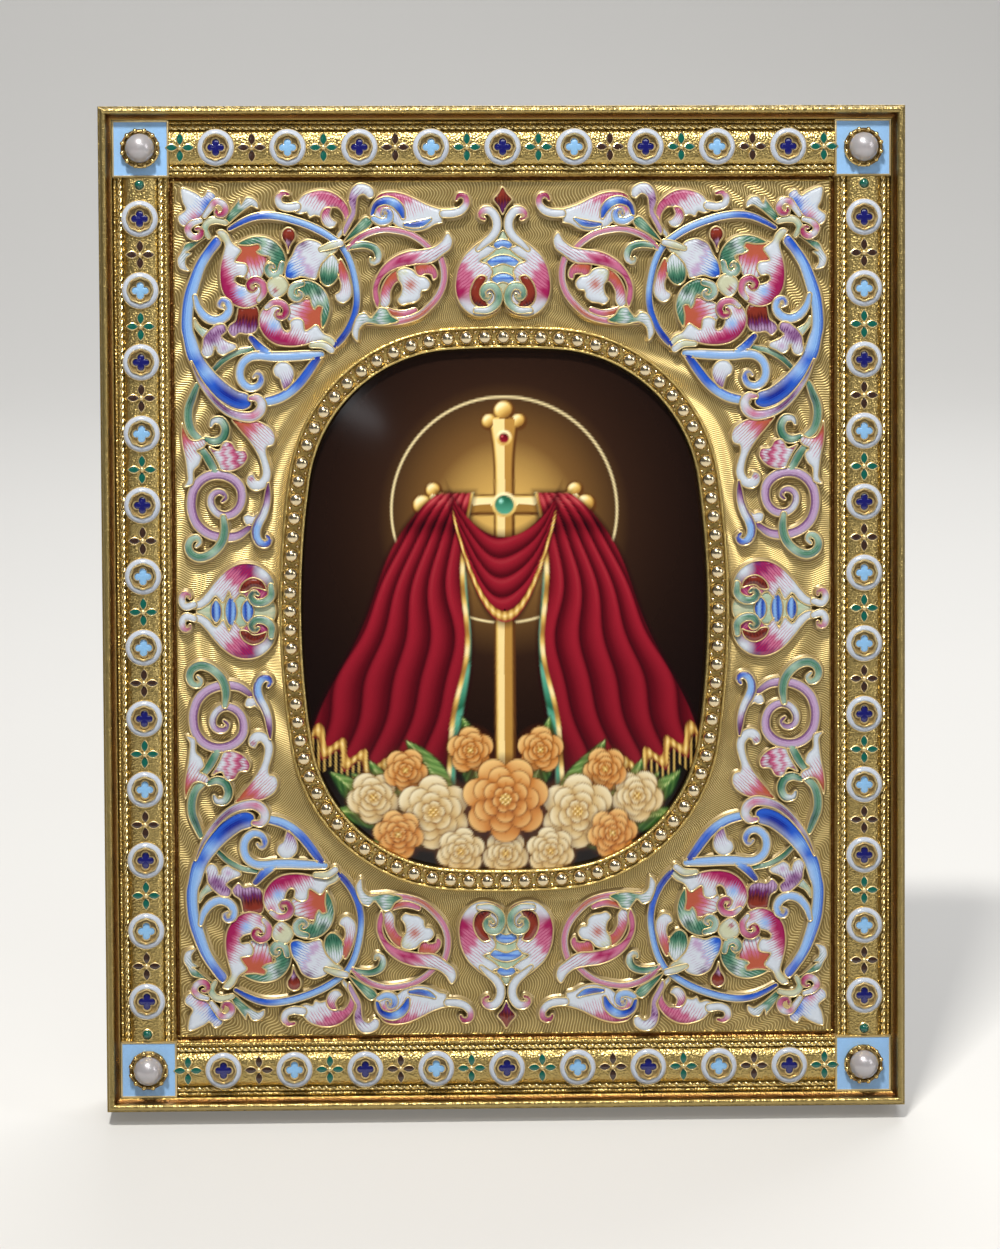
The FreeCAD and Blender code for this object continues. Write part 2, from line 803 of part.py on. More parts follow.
def hinge_screw_points():
    x = barrel_length / 2 + barrel_gap + knuckle_length / 2
    return [(sx * x, hinge_height + sy * hinge_screw_rise) for sx in (-1, 1) for sy in (-1, 1)]


def boards():
    half = frame_width / 2 - moulding_width - board_clearance
    low = moulding_width + board_clearance
    high = frame_height - low
    back = block(-half, half, low, high, 0, back_board_thickness)
    core = block(-half, half, low, high, back_board_thickness, core_top)
    holes = [back_screw_hole(x, y) for x, y in back_screw_points()]
    drill = group(holes)
    screws = [back_screw(x, y) for x, y in back_screw_points()]
    return {"back_board": back.cut(drill), "core_board": core.cut(drill), "back_screws": group(screws)}


# Hinge and strut


def cylinder_x(radius, x0, x1, y, z):
    return Part.makeCylinder(radius, x1 - x0, vector(x0, y, z), vector(1, 0, 0))


def knuckle_span():
    inner = barrel_length / 2 + barrel_gap
    return inner, inner + knuckle_length


def hinge_plate():
    inner, outer = knuckle_span()
    radius = barrel_diameter / 2
    y = hinge_height
    plate = block(-outer, outer, y - hinge_plate_below, y + hinge_plate_above, -hinge_plate_thickness, 0)
    pieces = [plate]
    for x0, x1 in ((-outer, -inner), (inner, outer)):
        pieces.append(cylinder_x(radius, x0, x1, y, -pin_offset))
        pieces.append(block(x0, x1, y - radius, y + radius, -pin_offset, -hinge_plate_thickness))
    bore = cylinder_x(pin_diameter / 2 + pin_fit, -outer - overrun, outer + overrun, y, -pin_offset)
    return fused(pieces).cut(bore)


def hinge_screws():
    """Domed heads on the plate's rear face."""
    head = (hinge_screw_head_diameter / 2, -hinge_plate_thickness)
    crown = (hinge_screw_crown_diameter / 2, -hinge_plate_thickness - hinge_screw_head_height)
    return group([lathe([crown, head], screw_sides, x, y) for x, y in hinge_screw_points()])


def hinge_pin():
    _, outer = knuckle_span()
    return cylinder_x(pin_diameter / 2, -outer, outer, hinge_height, -pin_offset)


def opened(shape):
    """A strut piece drawn flat along the back, swung out to its stop."""
    copy = shape.copy()
    copy.rotate(vector(0, hinge_height, -pin_offset), vector(1, 0, 0), strut_open_degrees)
    return copy


def heel_length():
    """How far the strap reaches past the pin to meet the plate when it is open."""
    turn = math.radians(strut_open_degrees)
    room = pin_offset - hinge_plate_thickness - stop_gap - strap_thickness / 2 * math.cos(turn)
    return room / math.sin(turn)


def strut_strap():
    """The strut's hinge strap: a barrel, a heel above it and a tongue below."""
    half = barrel_length / 2
    y = hinge_height
    front = -pin_offset + strap_thickness / 2
    strip = block(-half, half, y - strap_length, y + heel_length(), front - strap_thickness, front)
    barrel = cylinder_x(barrel_diameter / 2, -half, half, y, -pin_offset)
    bore_radius = pin_diameter / 2 + pin_running_clearance
    bore = cylinder_x(bore_radius, -half - overrun, half + overrun, y, -pin_offset)
    return opened(fused([strip, barrel]).cut(bore))


def strut_blank():
    """The strut's board, longer than needed below, before its foot is cut."""
    face = -pin_offset - strap_thickness / 2
    top = hinge_height - strut_top_gap
    wide = strut_foot_width / 2
    narrow = strut_top_width / 2
    outline = [(-narrow, top), (narrow, top), (wide, -overrun), (-wide, -overrun)]
    return opened(prism(outline, face - strut_thickness, strut_thickness))


# Standing up


def stand(shape):
    """Sets a piece upright with the front towards -Y, leaning back."""
    copy = shape.copy()
    copy.rotate(vector(0, 0, 0), vector(1, 0, 0), 90 - lean_degrees)
    return copy


def slab(z0, z1):
    """A wide level slab behind and below the frame, once it stands."""
    return block(-frame_width, frame_width, -frame_height, frame_height, z0, z1)


def strut_nodes():
    board = stand(strut_blank())
    return {
        "strut_strap": stand(strut_strap()),
        "strut_leaf": board.common(slab(foot_pad_thickness, frame_height)),
        "strut_foot_pad": board.common(slab(0, foot_pad_thickness)),
    }


def all_nodes():
    lying = {}
    lying.update(outer_mouldings())
    lying.update(border())
    lying.update(corners())
    lying["inner_panel"] = inner_panel()
    lying["enamel_plaque"] = enamel_plaque()
    lying["bezel"] = bezel()
    lying["bezel_beads"] = bezel_beads()
    lying.update(castings())
    lying.update(boards())
    lying["hinge_plate"] = hinge_plate()
    lying["hinge_screws"] = hinge_screws()
    lying["hinge_pin"] = hinge_pin()
    nodes = {name: stand(shape) for name, shape in lying.items()}
    nodes.update(strut_nodes())
    return nodes


def footprint_middle():
    """Half way from the lower pearls' front to the strut pad's rear, along Y."""
    lean = math.radians(lean_degrees)
    radius = pearl_diameter / 2
    centre = enamel_top + radius - pearl_cut
    front = block_line * math.sin(lean) - centre * math.cos(lean) - radius
    swing = math.radians(strut_open_degrees)
    slope = swing - lean
    hinge_y = hinge_height * math.sin(lean) + pin_offset * math.cos(lean)
    hinge_z = hinge_height * math.cos(lean) - pin_offset * math.sin(lean)
    rear_face = (strap_thickness / 2 + strut_thickness) / math.cos(slope)
    rear = hinge_y + hinge_z * math.tan(slope) + rear_face
    return (front + rear) / 2


def main():
    shift = vector(0, -footprint_middle(), 0)
    for name, shape in all_nodes().items():
        placed = shape.copy()
        placed.translate(shift)
        placed.exportStep("parts/" + name + ".step")


main()
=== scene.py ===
"""Looks of a standing enamelled table icon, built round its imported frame.

Pieces are modelled lying on their back in millimetres, as x to the right, y up the
picture and z towards the viewer, and then stood up by BENCH into the frame's metres."""

import math

import bpy
import numpy as np
from mathutils import Matrix, Vector
from mathutils.geometry import delaunay_2d_cdt


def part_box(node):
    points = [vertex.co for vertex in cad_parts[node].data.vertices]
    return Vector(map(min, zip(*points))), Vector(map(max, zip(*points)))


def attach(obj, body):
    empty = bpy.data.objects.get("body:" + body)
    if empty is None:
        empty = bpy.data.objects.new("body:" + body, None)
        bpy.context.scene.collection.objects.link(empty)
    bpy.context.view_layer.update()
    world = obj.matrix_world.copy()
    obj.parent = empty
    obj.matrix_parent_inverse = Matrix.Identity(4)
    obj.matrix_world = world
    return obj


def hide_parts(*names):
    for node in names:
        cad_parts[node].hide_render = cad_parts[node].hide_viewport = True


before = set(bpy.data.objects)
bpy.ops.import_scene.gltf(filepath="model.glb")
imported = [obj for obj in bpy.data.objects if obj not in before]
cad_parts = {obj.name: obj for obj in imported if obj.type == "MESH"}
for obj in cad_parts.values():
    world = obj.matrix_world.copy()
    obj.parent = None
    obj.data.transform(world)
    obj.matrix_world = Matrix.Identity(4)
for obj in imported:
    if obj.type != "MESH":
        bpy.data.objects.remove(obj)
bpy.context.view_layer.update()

MM = 0.001

# Sizes of the frame, in millimetres
WIDTH = 160.0
HEIGHT = 200.0
MIDDLE = HEIGHT / 2
LEAN = math.radians(10)
MOULDING = 2.6
BORDER = 2.65
RAIL = 10.8
BLOCK = 11.25
RAIL_LINE = BORDER + RAIL / 2
BLOCK_LINE = BORDER + BLOCK / 2
RAIL_GAP = 0.05
RAIL_START = BORDER + BLOCK + RAIL_GAP

# Levels above the back board's rear face: the tops of the core board and the panel, the seats
# of the rails' wires, the crest of the rails' fields and the rims of the corner blocks
CORE_TOP = 12.0
PANEL_TOP = 13.0
SEAT = 14.0
FIELD_TOP = 15.6
ENAMEL_TOP = 15.9

# The frame's rear lower edge; the turn and move that stand the bench up; the same in metres
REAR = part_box("outer_moulding_bottom")[1].y - MOULDING * MM * math.sin(LEAN)
STOOD = Matrix.Translation((0, REAR, 0)) @ Matrix.Rotation(math.pi / 2 - LEAN, 4, "X")
BENCH = STOOD @ Matrix.Scale(MM, 4)

# Colours, linear
GOLD = (0.70, 0.51, 0.20)
PALE_GOLD = (0.80, 0.63, 0.31)
SHADED_GOLD = (0.10, 0.06, 0.015)
WHITE = (0.46, 0.51, 0.60)


# Meshes


class Shape:
    """Vertices and faces in bench millimetres. Each vertex has a colour, a gilt share, the
    deeper colour of its brush lines and its place across them, in line pitches."""

    def __init__(self, points, faces, colour=WHITE, gilt=0.0, deep=None, hatch=0.0):
        self.points = np.array(points, float).reshape(-1, 3)
        self.faces = [tuple(int(i) for i in face) for face in faces]
        count = len(self.points)
        self.colour = np.array(colour, float) * np.ones((count, 3))
        self.gilt = np.array(gilt, float) * np.ones(count)
        self.deep = self.colour if deep is None else deep
        self.hatch = np.array(hatch, float) * np.ones(count)

    def placed(self, points, faces=None):
        """The same shape with its points elsewhere."""
        return Shape(points, faces or self.faces, self.colour, self.gilt, self.deep, self.hatch)

    def moved(self, x=0.0, y=0.0, z=0.0):
        """A copy moved by distances."""
        return self.placed(self.points + (x, y, z))

    def turned(self, turn):
        """A copy turned about z through the origin."""
        c, s = math.cos(turn), math.sin(turn)
        return self.placed(self.points @ np.array([[c, s, 0], [-s, c, 0], [0, 0, 1]]))

    def mirrored(self, across, up):
        """A copy mirrored over the middle line, the middle height or both."""
        points = self.points.copy()
        faces = self.faces
        if across:
            points[:, 0] *= -1
        if up:
            points[:, 1] = HEIGHT - points[:, 1]
        if across != up:
            faces = [face[::-1] for face in faces]
        return self.placed(points, faces)


def joined(shapes):
    """One shape that holds all of the shapes."""
    columns = [np.concatenate([getattr(s, name) for s in shapes])
               for name in ("points", "colour", "gilt", "deep", "hatch")]
    faces = []
    start = 0
    for s in shapes:
        faces += [tuple(i + start for i in face) for face in s.faces]
        start += len(s.points)
    points, colour, gilt, deep, hatch = columns
    return Shape(points, faces, colour, gilt, deep, hatch)


def linked(name, data):
    """A new object of the scene."""
    obj = bpy.data.objects.new(name, data)
    bpy.context.scene.collection.objects.link(obj)
    return obj


def piece(name, shapes, material, nodes, smooth=math.radians(35)):
    """One object on the fixed body that stands for some CAD nodes."""
    shape = joined(shapes)
    mesh = bpy.data.meshes.new(name)
    mesh.from_pydata([BENCH @ Vector(p) for p in shape.points], [], shape.faces)
    opaque = np.ones((len(shape.points), 1))
    for key, tint in (("paint", shape.colour), ("deep", shape.deep)):
        layer = mesh.color_attributes.new(key, "FLOAT_COLOR", "POINT")
        layer.data.foreach_set("color", np.hstack([tint, opaque]).astype(np.float32).ravel())
    for key, value in (("gilt", shape.gilt), ("hatch", shape.hatch)):
        layer = mesh.attributes.new(key, "FLOAT", "POINT")
        layer.data.foreach_set("value", value.astype(np.float32))
    mesh.shade_smooth()
    mesh.set_sharp_from_angle(angle=smooth)
    mesh.materials.append(material)
    obj = linked(name, mesh)
    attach(obj, "frame")
    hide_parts(*nodes)


def strip(rows, closed_across=False, **look):
    """Quads through rows of points that all have the same count."""
    rows = np.array(rows, float)
    count, width, _ = rows.shape
    faces = []
    for i in range(count - 1):
        n = i + 1
        for j in range(width if closed_across else width - 1):
            m = (j + 1) % width
            faces.append((i * width + j, i * width + m, n * width + m, n * width + j))
    return Shape(rows.reshape(-1, 3), faces, **look)


def lathe(profile, sides, colours=None, gilts=None, scallop=0.0, lobes=0):
    """A turned shape from (radius, z) places, bottom first; lobes ripple its radius."""
    rows = []
    for radius, z in profile:
        turns = [2 * math.pi * k / sides for k in range(sides)]
        reach = [radius * (1 + scallop * math.cos(lobes * t)) for t in turns]
        rows.append([(r * math.cos(t), r * math.sin(t), z) for r, t in zip(reach, turns)])
    shape = strip(rows, closed_across=True)
    if colours is not None:
        shape.colour = shape.deep = np.repeat(np.array(colours, float), sides, 0)
    if gilts is not None:
        shape.gilt = np.repeat(np.array(gilts, float), sides)
    return shape


# How narrow a ball's end rings get, as a share of its radius
POLE_SHARE = 0.001


def ball(radius, sides, rings, low=-1.0, **look):
    """A ball from the level low, a share of its radius, up to its top."""
    start = math.asin(low)
    profile = []
    for k in range(rings + 1):
        turn = start + (math.pi / 2 - start) * k / rings
        profile.append((max(radius * math.cos(turn), radius * POLE_SHARE), radius * math.sin(turn)))
    shape = lathe(profile, sides)
    return Shape(shape.points, shape.faces, **look)


def bar(section, x0, x1, mitre=0.0, **look):
    """A section of (y, z) places along x, its ends slanting by mitre for each y."""
    left = [(x0 + mitre * y, y, z) for y, z in section]
    right = [(x1 - mitre * y, y, z) for y, z in section]
    return strip([right, left], closed_across=True, **look)


def side_places():
    """For each side of the frame: its name, length, and turn and place of its rail line."""
    across = WIDTH - 2 * RAIL_START
    up = HEIGHT - 2 * RAIL_START
    x = WIDTH / 2 - RAIL_LINE
    return (
        ("bottom", across, 0.0, (0, RAIL_LINE)),
        ("top", across, math.pi, (0, HEIGHT - RAIL_LINE)),
        ("left", up, -math.pi / 2, (-x, MIDDLE)),
        ("right", up, math.pi / 2, (x, MIDDLE)),
    )


def put(shapes, turn, place):
    """The shapes turned about z and then moved to a place."""
    return [s.turned(turn).moved(*place) for s in shapes]


# Materials


class Finish:
    """A node material with one main shader, its inputs made by small expressions."""

    def __init__(self, name):
        self.material = bpy.data.materials.new(name)
        self.material.use_nodes = True
        self.tree = self.material.node_tree
        self.shader = self.tree.nodes["Principled BSDF"]
        self.coords = self.node("ShaderNodeTexCoord").outputs["Object"]

    def node(self, kind, inputs=None, **settings):
        """A new node with its settings made and its inputs fed."""
        made = self.tree.nodes.new(kind)
        for name, value in settings.items():
            setattr(made, name, value)
        for key, value in (inputs or {}).items():
            self.feed(made.inputs[key], value)
        return made

    def feed(self, socket, value):
        """Link another node's output to an input, or set its value."""
        if isinstance(value, bpy.types.NodeSocket):
            self.tree.links.new(value, socket)
        elif socket.type == "RGBA" and len(value) == 3:
            socket.default_value = (*value, 1.0)
        else:
            socket.default_value = value

    def bench(self):
        """Bench millimetres of the shaded point."""
        return self.node("ShaderNodeMapping", {
            "Vector": self.coords, "Location": STOOD.to_translation(),
            "Rotation": STOOD.to_euler(), "Scale": (MM, MM, MM)}, vector_type="TEXTURE").outputs[0]

    def attribute(self, name, output):
        """Vertex data that piece() wrote."""
        return self.node("ShaderNodeAttribute", attribute_name=name).outputs[output]

    def noise(self, where, scale, detail=2.0):
        """A 0 to 1 cloud; its scale is in clouds for each millimetre."""
        inputs = {"Vector": where, "Scale": scale, "Detail": detail}
        return self.node("ShaderNodeTexNoise", inputs).outputs["Fac"]

    def cells(self, where, scale):
        """Distance to the nearest of scattered points; the scale as for a cloud."""
        return self.node("ShaderNodeTexVoronoi", {"Vector": where, "Scale": scale}).outputs["Distance"]

    def maths(self, operation, *values):
        return self.node("ShaderNodeMath", dict(enumerate(values)), operation=operation).outputs[0]

    def spread(self, value, low, high):
        """A 0 to 1 value stretched between low and high."""
        inputs = {"Value": value, "To Min": low, "To Max": high}
        return self.node("ShaderNodeMapRange", inputs).outputs["Result"]

    def mix(self, share, first, second, how="MIX"):
        """Two colours mixed, the second by a share."""
        inputs = {"Factor": share, 6: first, 7: second}
        return self.node("ShaderNodeMix", inputs, data_type="RGBA", blend_type=how).outputs[2]

    def times(self, first, second):
        """Two colours multiplied."""
        return self.mix(1.0, first, second, "MULTIPLY")

    def blend(self, share, first, second):
        """Two numbers mixed, the second by a share."""
        inputs = {"Factor": share, 2: first, 3: second}
        return self.node("ShaderNodeMix", inputs, data_type="FLOAT").outputs[0]

    def bump(self, height, millimetres, strength=1.0):
        """Relief on the surface, as deep as the millimetres say."""
        inputs = {"Height": height, "Distance": millimetres * MM, "Strength": strength}
        made = self.node("ShaderNodeBump", inputs)
        self.feed(self.shader.inputs["Normal"], made.outputs["Normal"])

    def set(self, **inputs):
        """Feed the main shader's inputs, named with _ for a space."""
        for name, value in inputs.items():
            self.feed(self.shader.inputs[name.replace("_", " ")], value)


def gilt(name, tone=GOLD, rough=(0.16, 0.30), grain=0.0, pitch=0.35, toned=False):
    """Polished or stippled gold, deepened by the vertex paint where it is toned."""
    finish = Finish(name)
    where = finish.bench()
    cloud = finish.noise(where, 0.6)
    dark = tuple(c * 0.78 for c in tone)
    metal = finish.mix(cloud, dark, tone)
    if toned:
        metal = finish.times(metal, finish.attribute("paint", "Color"))
    finish.set(Base_Color=metal, Metallic=1.0, Roughness=finish.spread(finish.noise(where, 2.5), *rough))
    if grain:
        finish.bump(finish.cells(where, 1 / pitch), grain)
    return finish.material


def cloison(name):
    """Glossy painted enamel with gold walls where the gilt share is full. Brush lines of the
    deeper colour follow the hatch value, and a wall has no clear coat."""
    finish = Finish(name)
    where = finish.bench()
    wall = finish.attribute("gilt", "Fac")
    waver = finish.spread(finish.noise(where, 1.3), -0.35, 0.35)
    turn = finish.maths("ADD", finish.attribute("hatch", "Fac"), waver)
    line = finish.spread(finish.maths("SINE", finish.maths("MULTIPLY", turn, 2 * math.pi)), -0.35, 0.85)
    line = finish.maths("MINIMUM", finish.maths("MAXIMUM", line, 0.0), 1.0)
    paint = finish.mix(line, finish.attribute("paint", "Color"), finish.attribute("deep", "Color"))
    shade = tuple(c * 0.85 for c in PALE_GOLD)
    mottled = finish.mix(finish.noise(where, 3.0), (0.90, 0.90, 0.90), (1.06, 1.06, 1.06))
    metal = finish.mix(finish.noise(where, 1.5), shade, PALE_GOLD)
    bare = finish.maths("MINIMUM", finish.maths("MULTIPLY", wall, 3.0), 1.0)
    polish = finish.spread(finish.noise(where, 2.0), 0.10, 0.20)
    finish.set(Base_Color=finish.mix(wall, finish.times(paint, mottled), metal))
    finish.set(Metallic=finish.maths("MULTIPLY", wall, 0.8), Roughness=finish.blend(bare, polish, 0.34))
    finish.set(Coat_Weight=finish.blend(bare, 0.6, 0.0), Coat_Roughness=0.05)
    return finish.material


def wood(name, dark, light):
    """Oiled wood with its grain up the picture."""
    finish = Finish(name)
    where = finish.bench()
    long = finish.node("ShaderNodeMapping", {"Vector": where, "Scale": (1.0, 0.08, 1.0)}).outputs[0]
    grain = finish.noise(long, 0.9, 6.0)
    finish.set(Base_Color=finish.mix(grain, dark, light), Roughness=finish.spread(grain, 0.45, 0.62))
    finish.bump(grain, 0.12)
    return finish.material


def felt(name, tone):
    """Matt fuzzy cloth."""
    finish = Finish(name)
    fuzz = finish.noise(finish.bench(), 6.0, 8.0)
    finish.set(Base_Color=finish.mix(fuzz, tuple(c * 0.6 for c in tone), tone), Roughness=0.95)
    finish.bump(fuzz, 0.2)
    return finish.material


def nacre(name):
    """Greyish pearl with a faint pink and green cast."""
    finish = Finish(name)
    cloud = finish.noise(finish.bench(), 0.5)
    cast = finish.mix(cloud, (0.47, 0.42, 0.43), (0.41, 0.42, 0.44))
    finish.set(Base_Color=cast, Roughness=finish.spread(cloud, 0.26, 0.34), Metallic=0.35)
    finish.set(Coat_Weight=0.5, Coat_Roughness=0.08)
    return finish.material


# Engraved lines of the panel: how many go round it, the length and turn of their waves, how
# far the waves drift, and the colours of the ridges and of the grooves between them
PANEL_LINES = 900
WAVE_LENGTH = 5.4
WAVE_TURN = 0.0075
WAVE_DRIFT = 9.0
RIDGE_TONES = ((0.74, 0.58, 0.25), (0.90, 0.735, 0.35))
GROOVE_TONES = ((0.33, 0.228, 0.075), (0.46, 0.33, 0.12))


def engraved(name):
    """Gold cut with fine wavy lines that radiate from the panel's middle."""
    finish = Finish(name)
    where = finish.bench()
    across, up, _ = finish.node("ShaderNodeSeparateXYZ", {"Vector": where}).outputs
    rise = finish.maths("SUBTRACT", up, MIDDLE)
    turn = finish.maths("ARCTAN2", rise, across)
    squares = [finish.maths("MULTIPLY", side, side) for side in (rise, across)]
    reach = finish.maths("SQRT", finish.maths("ADD", *squares))
    drift = finish.spread(finish.noise(where, 0.035, 0.0), -WAVE_DRIFT, WAVE_DRIFT)
    phase = finish.maths("MULTIPLY", reach, 2 * math.pi / WAVE_LENGTH)
    wave = finish.maths("SINE", finish.maths("ADD", phase, drift))
    turn = finish.maths("ADD", turn, finish.maths("MULTIPLY", wave, WAVE_TURN))
    line = finish.maths("SINE", finish.maths("MULTIPLY", turn, PANEL_LINES))
    groove = finish.spread(line, 0.0, 1.0)
    cloud = finish.noise(where, 0.35)
    metal = finish.mix(cloud, *RIDGE_TONES)
    dark = finish.mix(cloud, *GROOVE_TONES)
    finish.set(Base_Color=finish.mix(groove, dark, metal), Metallic=0.87)
    finish.set(Roughness=finish.spread(finish.noise(where, 4.0), 0.29, 0.44))
    finish.bump(groove, 0.05, 0.8)
    return finish.material


def glossy_picture(name):
    """The plaque's vertex paint under a clear coat."""
    finish = Finish(name)
    fine = finish.noise(finish.bench(), 5.0)
    paint = finish.attribute("paint", "Color")
    tint = finish.times(paint, finish.mix(fine, (0.94, 0.94, 0.94), (1.05, 1.05, 1.05)))
    finish.set(Base_Color=tint, Roughness=finish.spread(fine, 0.40, 0.46), Specular_IOR_Level=0.0)
    finish.set(Coat_Weight=0.55, Coat_Roughness=0.11)
    return finish.material


# Frame


def moulding_section():
    """Lip, half-round crest and cove of the bottom length, as (y, z) places."""
    section = [(MOULDING, 0), (0, 0), (0, 16.85), (0.08, 17.0), (0.4, 17.02)]
    for k in range(13):
        turn = math.pi * (1 - k / 12)
        section.append((1.0 + 0.6 * math.cos(turn), 17.4 + 0.6 * math.sin(turn)))
    section += [(1.72, 17.0), (1.95, 16.6), (2.25, 16.3), (MOULDING, 16.1)]
    return section


# Tones of the parts of a section: dulled lip, bright crest, reddish cove and plain fillet; the cove tone
# also serves as the painted shadow in the rails' fillet troughs
LIP_TONE = (0.80, 0.78, 0.72)
CREST_TONE = (1.0, 1.0, 1.0)
COVE_AND_SHADOW_TONE = (0.42, 0.26, 0.20)
FILLET_TONE = (0.85, 0.78, 0.62)


def mouldings(material):
    """The four mitred lengths of the outer moulding."""
    section = moulding_section()
    tones = [LIP_TONE] * 5 + [CREST_TONE] * 13 + [COVE_AND_SHADOW_TONE] * 3 + [FILLET_TONE]
    for name, length, turn, place in (
        ("bottom", WIDTH, 0.0, (0, 0)),
        ("top", WIDTH, math.pi, (0, HEIGHT)),
        ("right", HEIGHT, math.pi / 2, (WIDTH / 2, MIDDLE)),
        ("left", HEIGHT, -math.pi / 2, (-WIDTH / 2, MIDDLE)),
    ):
        shapes = put([bar(section, -length / 2, length / 2, mitre=1.0, colour=tones * 2)], turn, place)
        piece("moulding_" + name, shapes, material, ["outer_moulding_" + name])


# One half of a rail from its outer edge to its wire's seat, as (y, z) places; then the half
# width, height and roundness of the field between the wires
RAIL_EDGE = [(5.4, CORE_TOP), (5.4, 14.45), (5.3, 14.6), (5.05, 14.68), (4.8, 14.6), (4.66, 14.3),
             (4.6, SEAT), (3.6, SEAT)]
FIELD_HALF = 3.5
FIELD_RISE = 1.6
FIELD_POWER = 0.55


def rail_section():
    """Half-round field between wire seats, with rounded raised edges, as (y, z) places."""
    half = list(RAIL_EDGE)
    for k in range(11):
        turn = math.pi / 2 * k / 10
        half.append((FIELD_HALF * math.cos(turn) ** FIELD_POWER, SEAT + FIELD_RISE * math.sin(turn)))
    return half + [(-y, z) for y, z in half[-2::-1]]


# Twisted wires: radius of a strand, how far its middle is from the wire's, the length of one
# full turn, sides of a strand, length of a step, and the wires' distance from the rail line
STRAND = 0.29
STRAND_REACH = 0.25
LAY = 2.82
STRAND_SIDES = 6
STRAND_STEP = 0.25
WIRE_LINE = 4.0


def rope(length, y, z):
    """Two strands twisted round a straight line along x."""
    steps = int(length / STRAND_STEP)
    ring = [2 * math.pi * j / STRAND_SIDES for j in range(STRAND_SIDES)]
    strands = []
    for phase in (0.0, math.pi):
        rows = []
        for k in range(steps + 1):
            x = -length / 2 + length * k / steps
            turn = phase + 2 * math.pi * x / LAY
            cy = y + STRAND_REACH * math.cos(turn)
            cz = z + STRAND_REACH * math.sin(turn)
            rows.append([(x, cy + STRAND * math.cos(t), cz + STRAND * math.sin(t)) for t in ring])
        strands.append(strip(rows, closed_across=True, gilt=1.0))
    return strands


# Grains on the rails' edges: their pitch, radius, level and distance from the rail line
GRAIN_PITCH = 0.78
GRAIN = 0.3
GRAIN_LEVEL = 14.55
GRAIN_LINE = 5.02


def grains(length, y):
    """A row of tiny raised grains along a rail's edge."""
    count = int(length / GRAIN_PITCH)
    grain = ball(GRAIN, 8, 3, low=0.0, gilt=1.0, colour=CREST_TONE)
    places = [(k - (count - 1) / 2) * length / count for k in range(count)]
    return [grain.moved(x, y, GRAIN_LEVEL) for x in places]


# Fillet that closes the joint between a rail and the panel, as (y, z) places
FILLET = [(6.65, CORE_TOP), (6.65, 12.98), (6.5, 13.08), (6.3, 13.04), (6.15, 12.75), (5.85, 12.7),
          (5.7, 13.0), (5.38, 13.15), (5.38, CORE_TOP)]
# The fillet's trough is painted in the cove tone: a painted shadow line where the rail meets the panel
FILLET_TONES = [FILLET_TONE] * 3 + [COVE_AND_SHADOW_TONE] * 4 + [FILLET_TONE] * 2


def rails(rail_gold, wire_gold):
    """The border rails with their grains and fillets, and the twisted wires on them."""
    for name, length, turn, place in side_places():
        body = bar(rail_section(), -length / 2, length / 2, colour=CREST_TONE)
        edges = grains(length, GRAIN_LINE) + grains(length, -GRAIN_LINE)
        edges.append(bar(FILLET, -length / 2, length / 2, colour=FILLET_TONES * 2))
        shapes = put([body] + edges, turn, place)
        piece("border_" + name, shapes, rail_gold, ["rail_" + name], math.radians(50))
        wires = [strand for y in (WIRE_LINE, -WIRE_LINE) for strand in rope(length, y, SEAT + 0.38)]
        shapes = put(wires, turn, place)
        piece("wires_" + name, shapes, wire_gold, ["rope_wires_" + name], math.radians(80))


# Roundels. Quatrefoil: shares of its reach with levels over the field. Ring and rim: radii with
# levels, the ring's over its foot.
QUATREFOIL = ((0.0, 0.56), (0.45, 0.54), (0.78, 0.46), (0.84, 0.40), (0.87, 0.62), (1.02, 0.62),
              (1.07, 0.2))
QUATREFOIL_SIDES = 48
ROUNDEL_FOOT = FIELD_TOP - 0.05
ROUNDEL_TOP = FIELD_TOP + 1.3
RING = ((3.74, 0), (3.74, 0.4), (3.68, 0.5), (3.60, 0.46), (3.56, 0.52), (3.3, 0.86), (2.95, 1.04),
        (2.7, 1.02), (2.62, 0.94))
RIM = ((2.64, ROUNDEL_FOOT + 0.9), (2.60, ROUNDEL_TOP - 0.14), (2.50, ROUNDEL_TOP),
       (2.36, ROUNDEL_TOP - 0.02), (2.22, ROUNDEL_TOP - 0.25), (2.18, ROUNDEL_FOOT + 0.2))


def quatrefoil(colour):
    """Four round lobes of enamel inside a thin gold wall."""
    rows = []
    for share, z in QUATREFOIL:
        row = []
        for k in range(QUATREFOIL_SIDES):
            turn = 2 * math.pi * k / QUATREFOIL_SIDES
            reach = 1.14 + 0.80 * abs(math.cos(2 * turn)) ** 0.8
            row.append((share * reach * math.cos(turn), share * reach * math.sin(turn), FIELD_TOP + z))
        rows.append(row)
    shape = strip(rows, closed_across=True, colour=colour)
    shape.gilt = np.repeat(np.array([0, 0, 0, 0, 1, 1, 1], float), QUATREFOIL_SIDES)
    return shape


def roundel(colour):
    """White enamel ring, thin scalloped rim, floor painted dark as shade, and enamelled quatrefoil."""
    profile = [(radius, ROUNDEL_FOOT + rise) for radius, rise in RING]
    ring = lathe(profile, 40, [WHITE] * len(profile), [1, 1, 1, 1, 0, 0, 0, 0, 0])
    collar = lathe(RIM, 48, gilts=[1] * len(RIM), scallop=0.035, lobes=8)
    # The floor inside the rim is painted in shaded gold: painted shade in the recess
    floor = ((2.3, FIELD_TOP + 0.24), (0.01, FIELD_TOP + 0.26))
    return [ring, collar, lathe(floor, 24, [SHADED_GOLD] * 2, [0.35, 0.35]), quatrefoil(colour)]


# Petals: rows of places, where one starts, its length, half width, edge width and edge level
PETAL_ROWS = 9
PETAL_START = 0.34
PETAL_LENGTH = 2.58
PETAL_HALF = 0.80
PETAL_EDGE = 0.14
PETAL_RISE = FIELD_TOP + 0.34


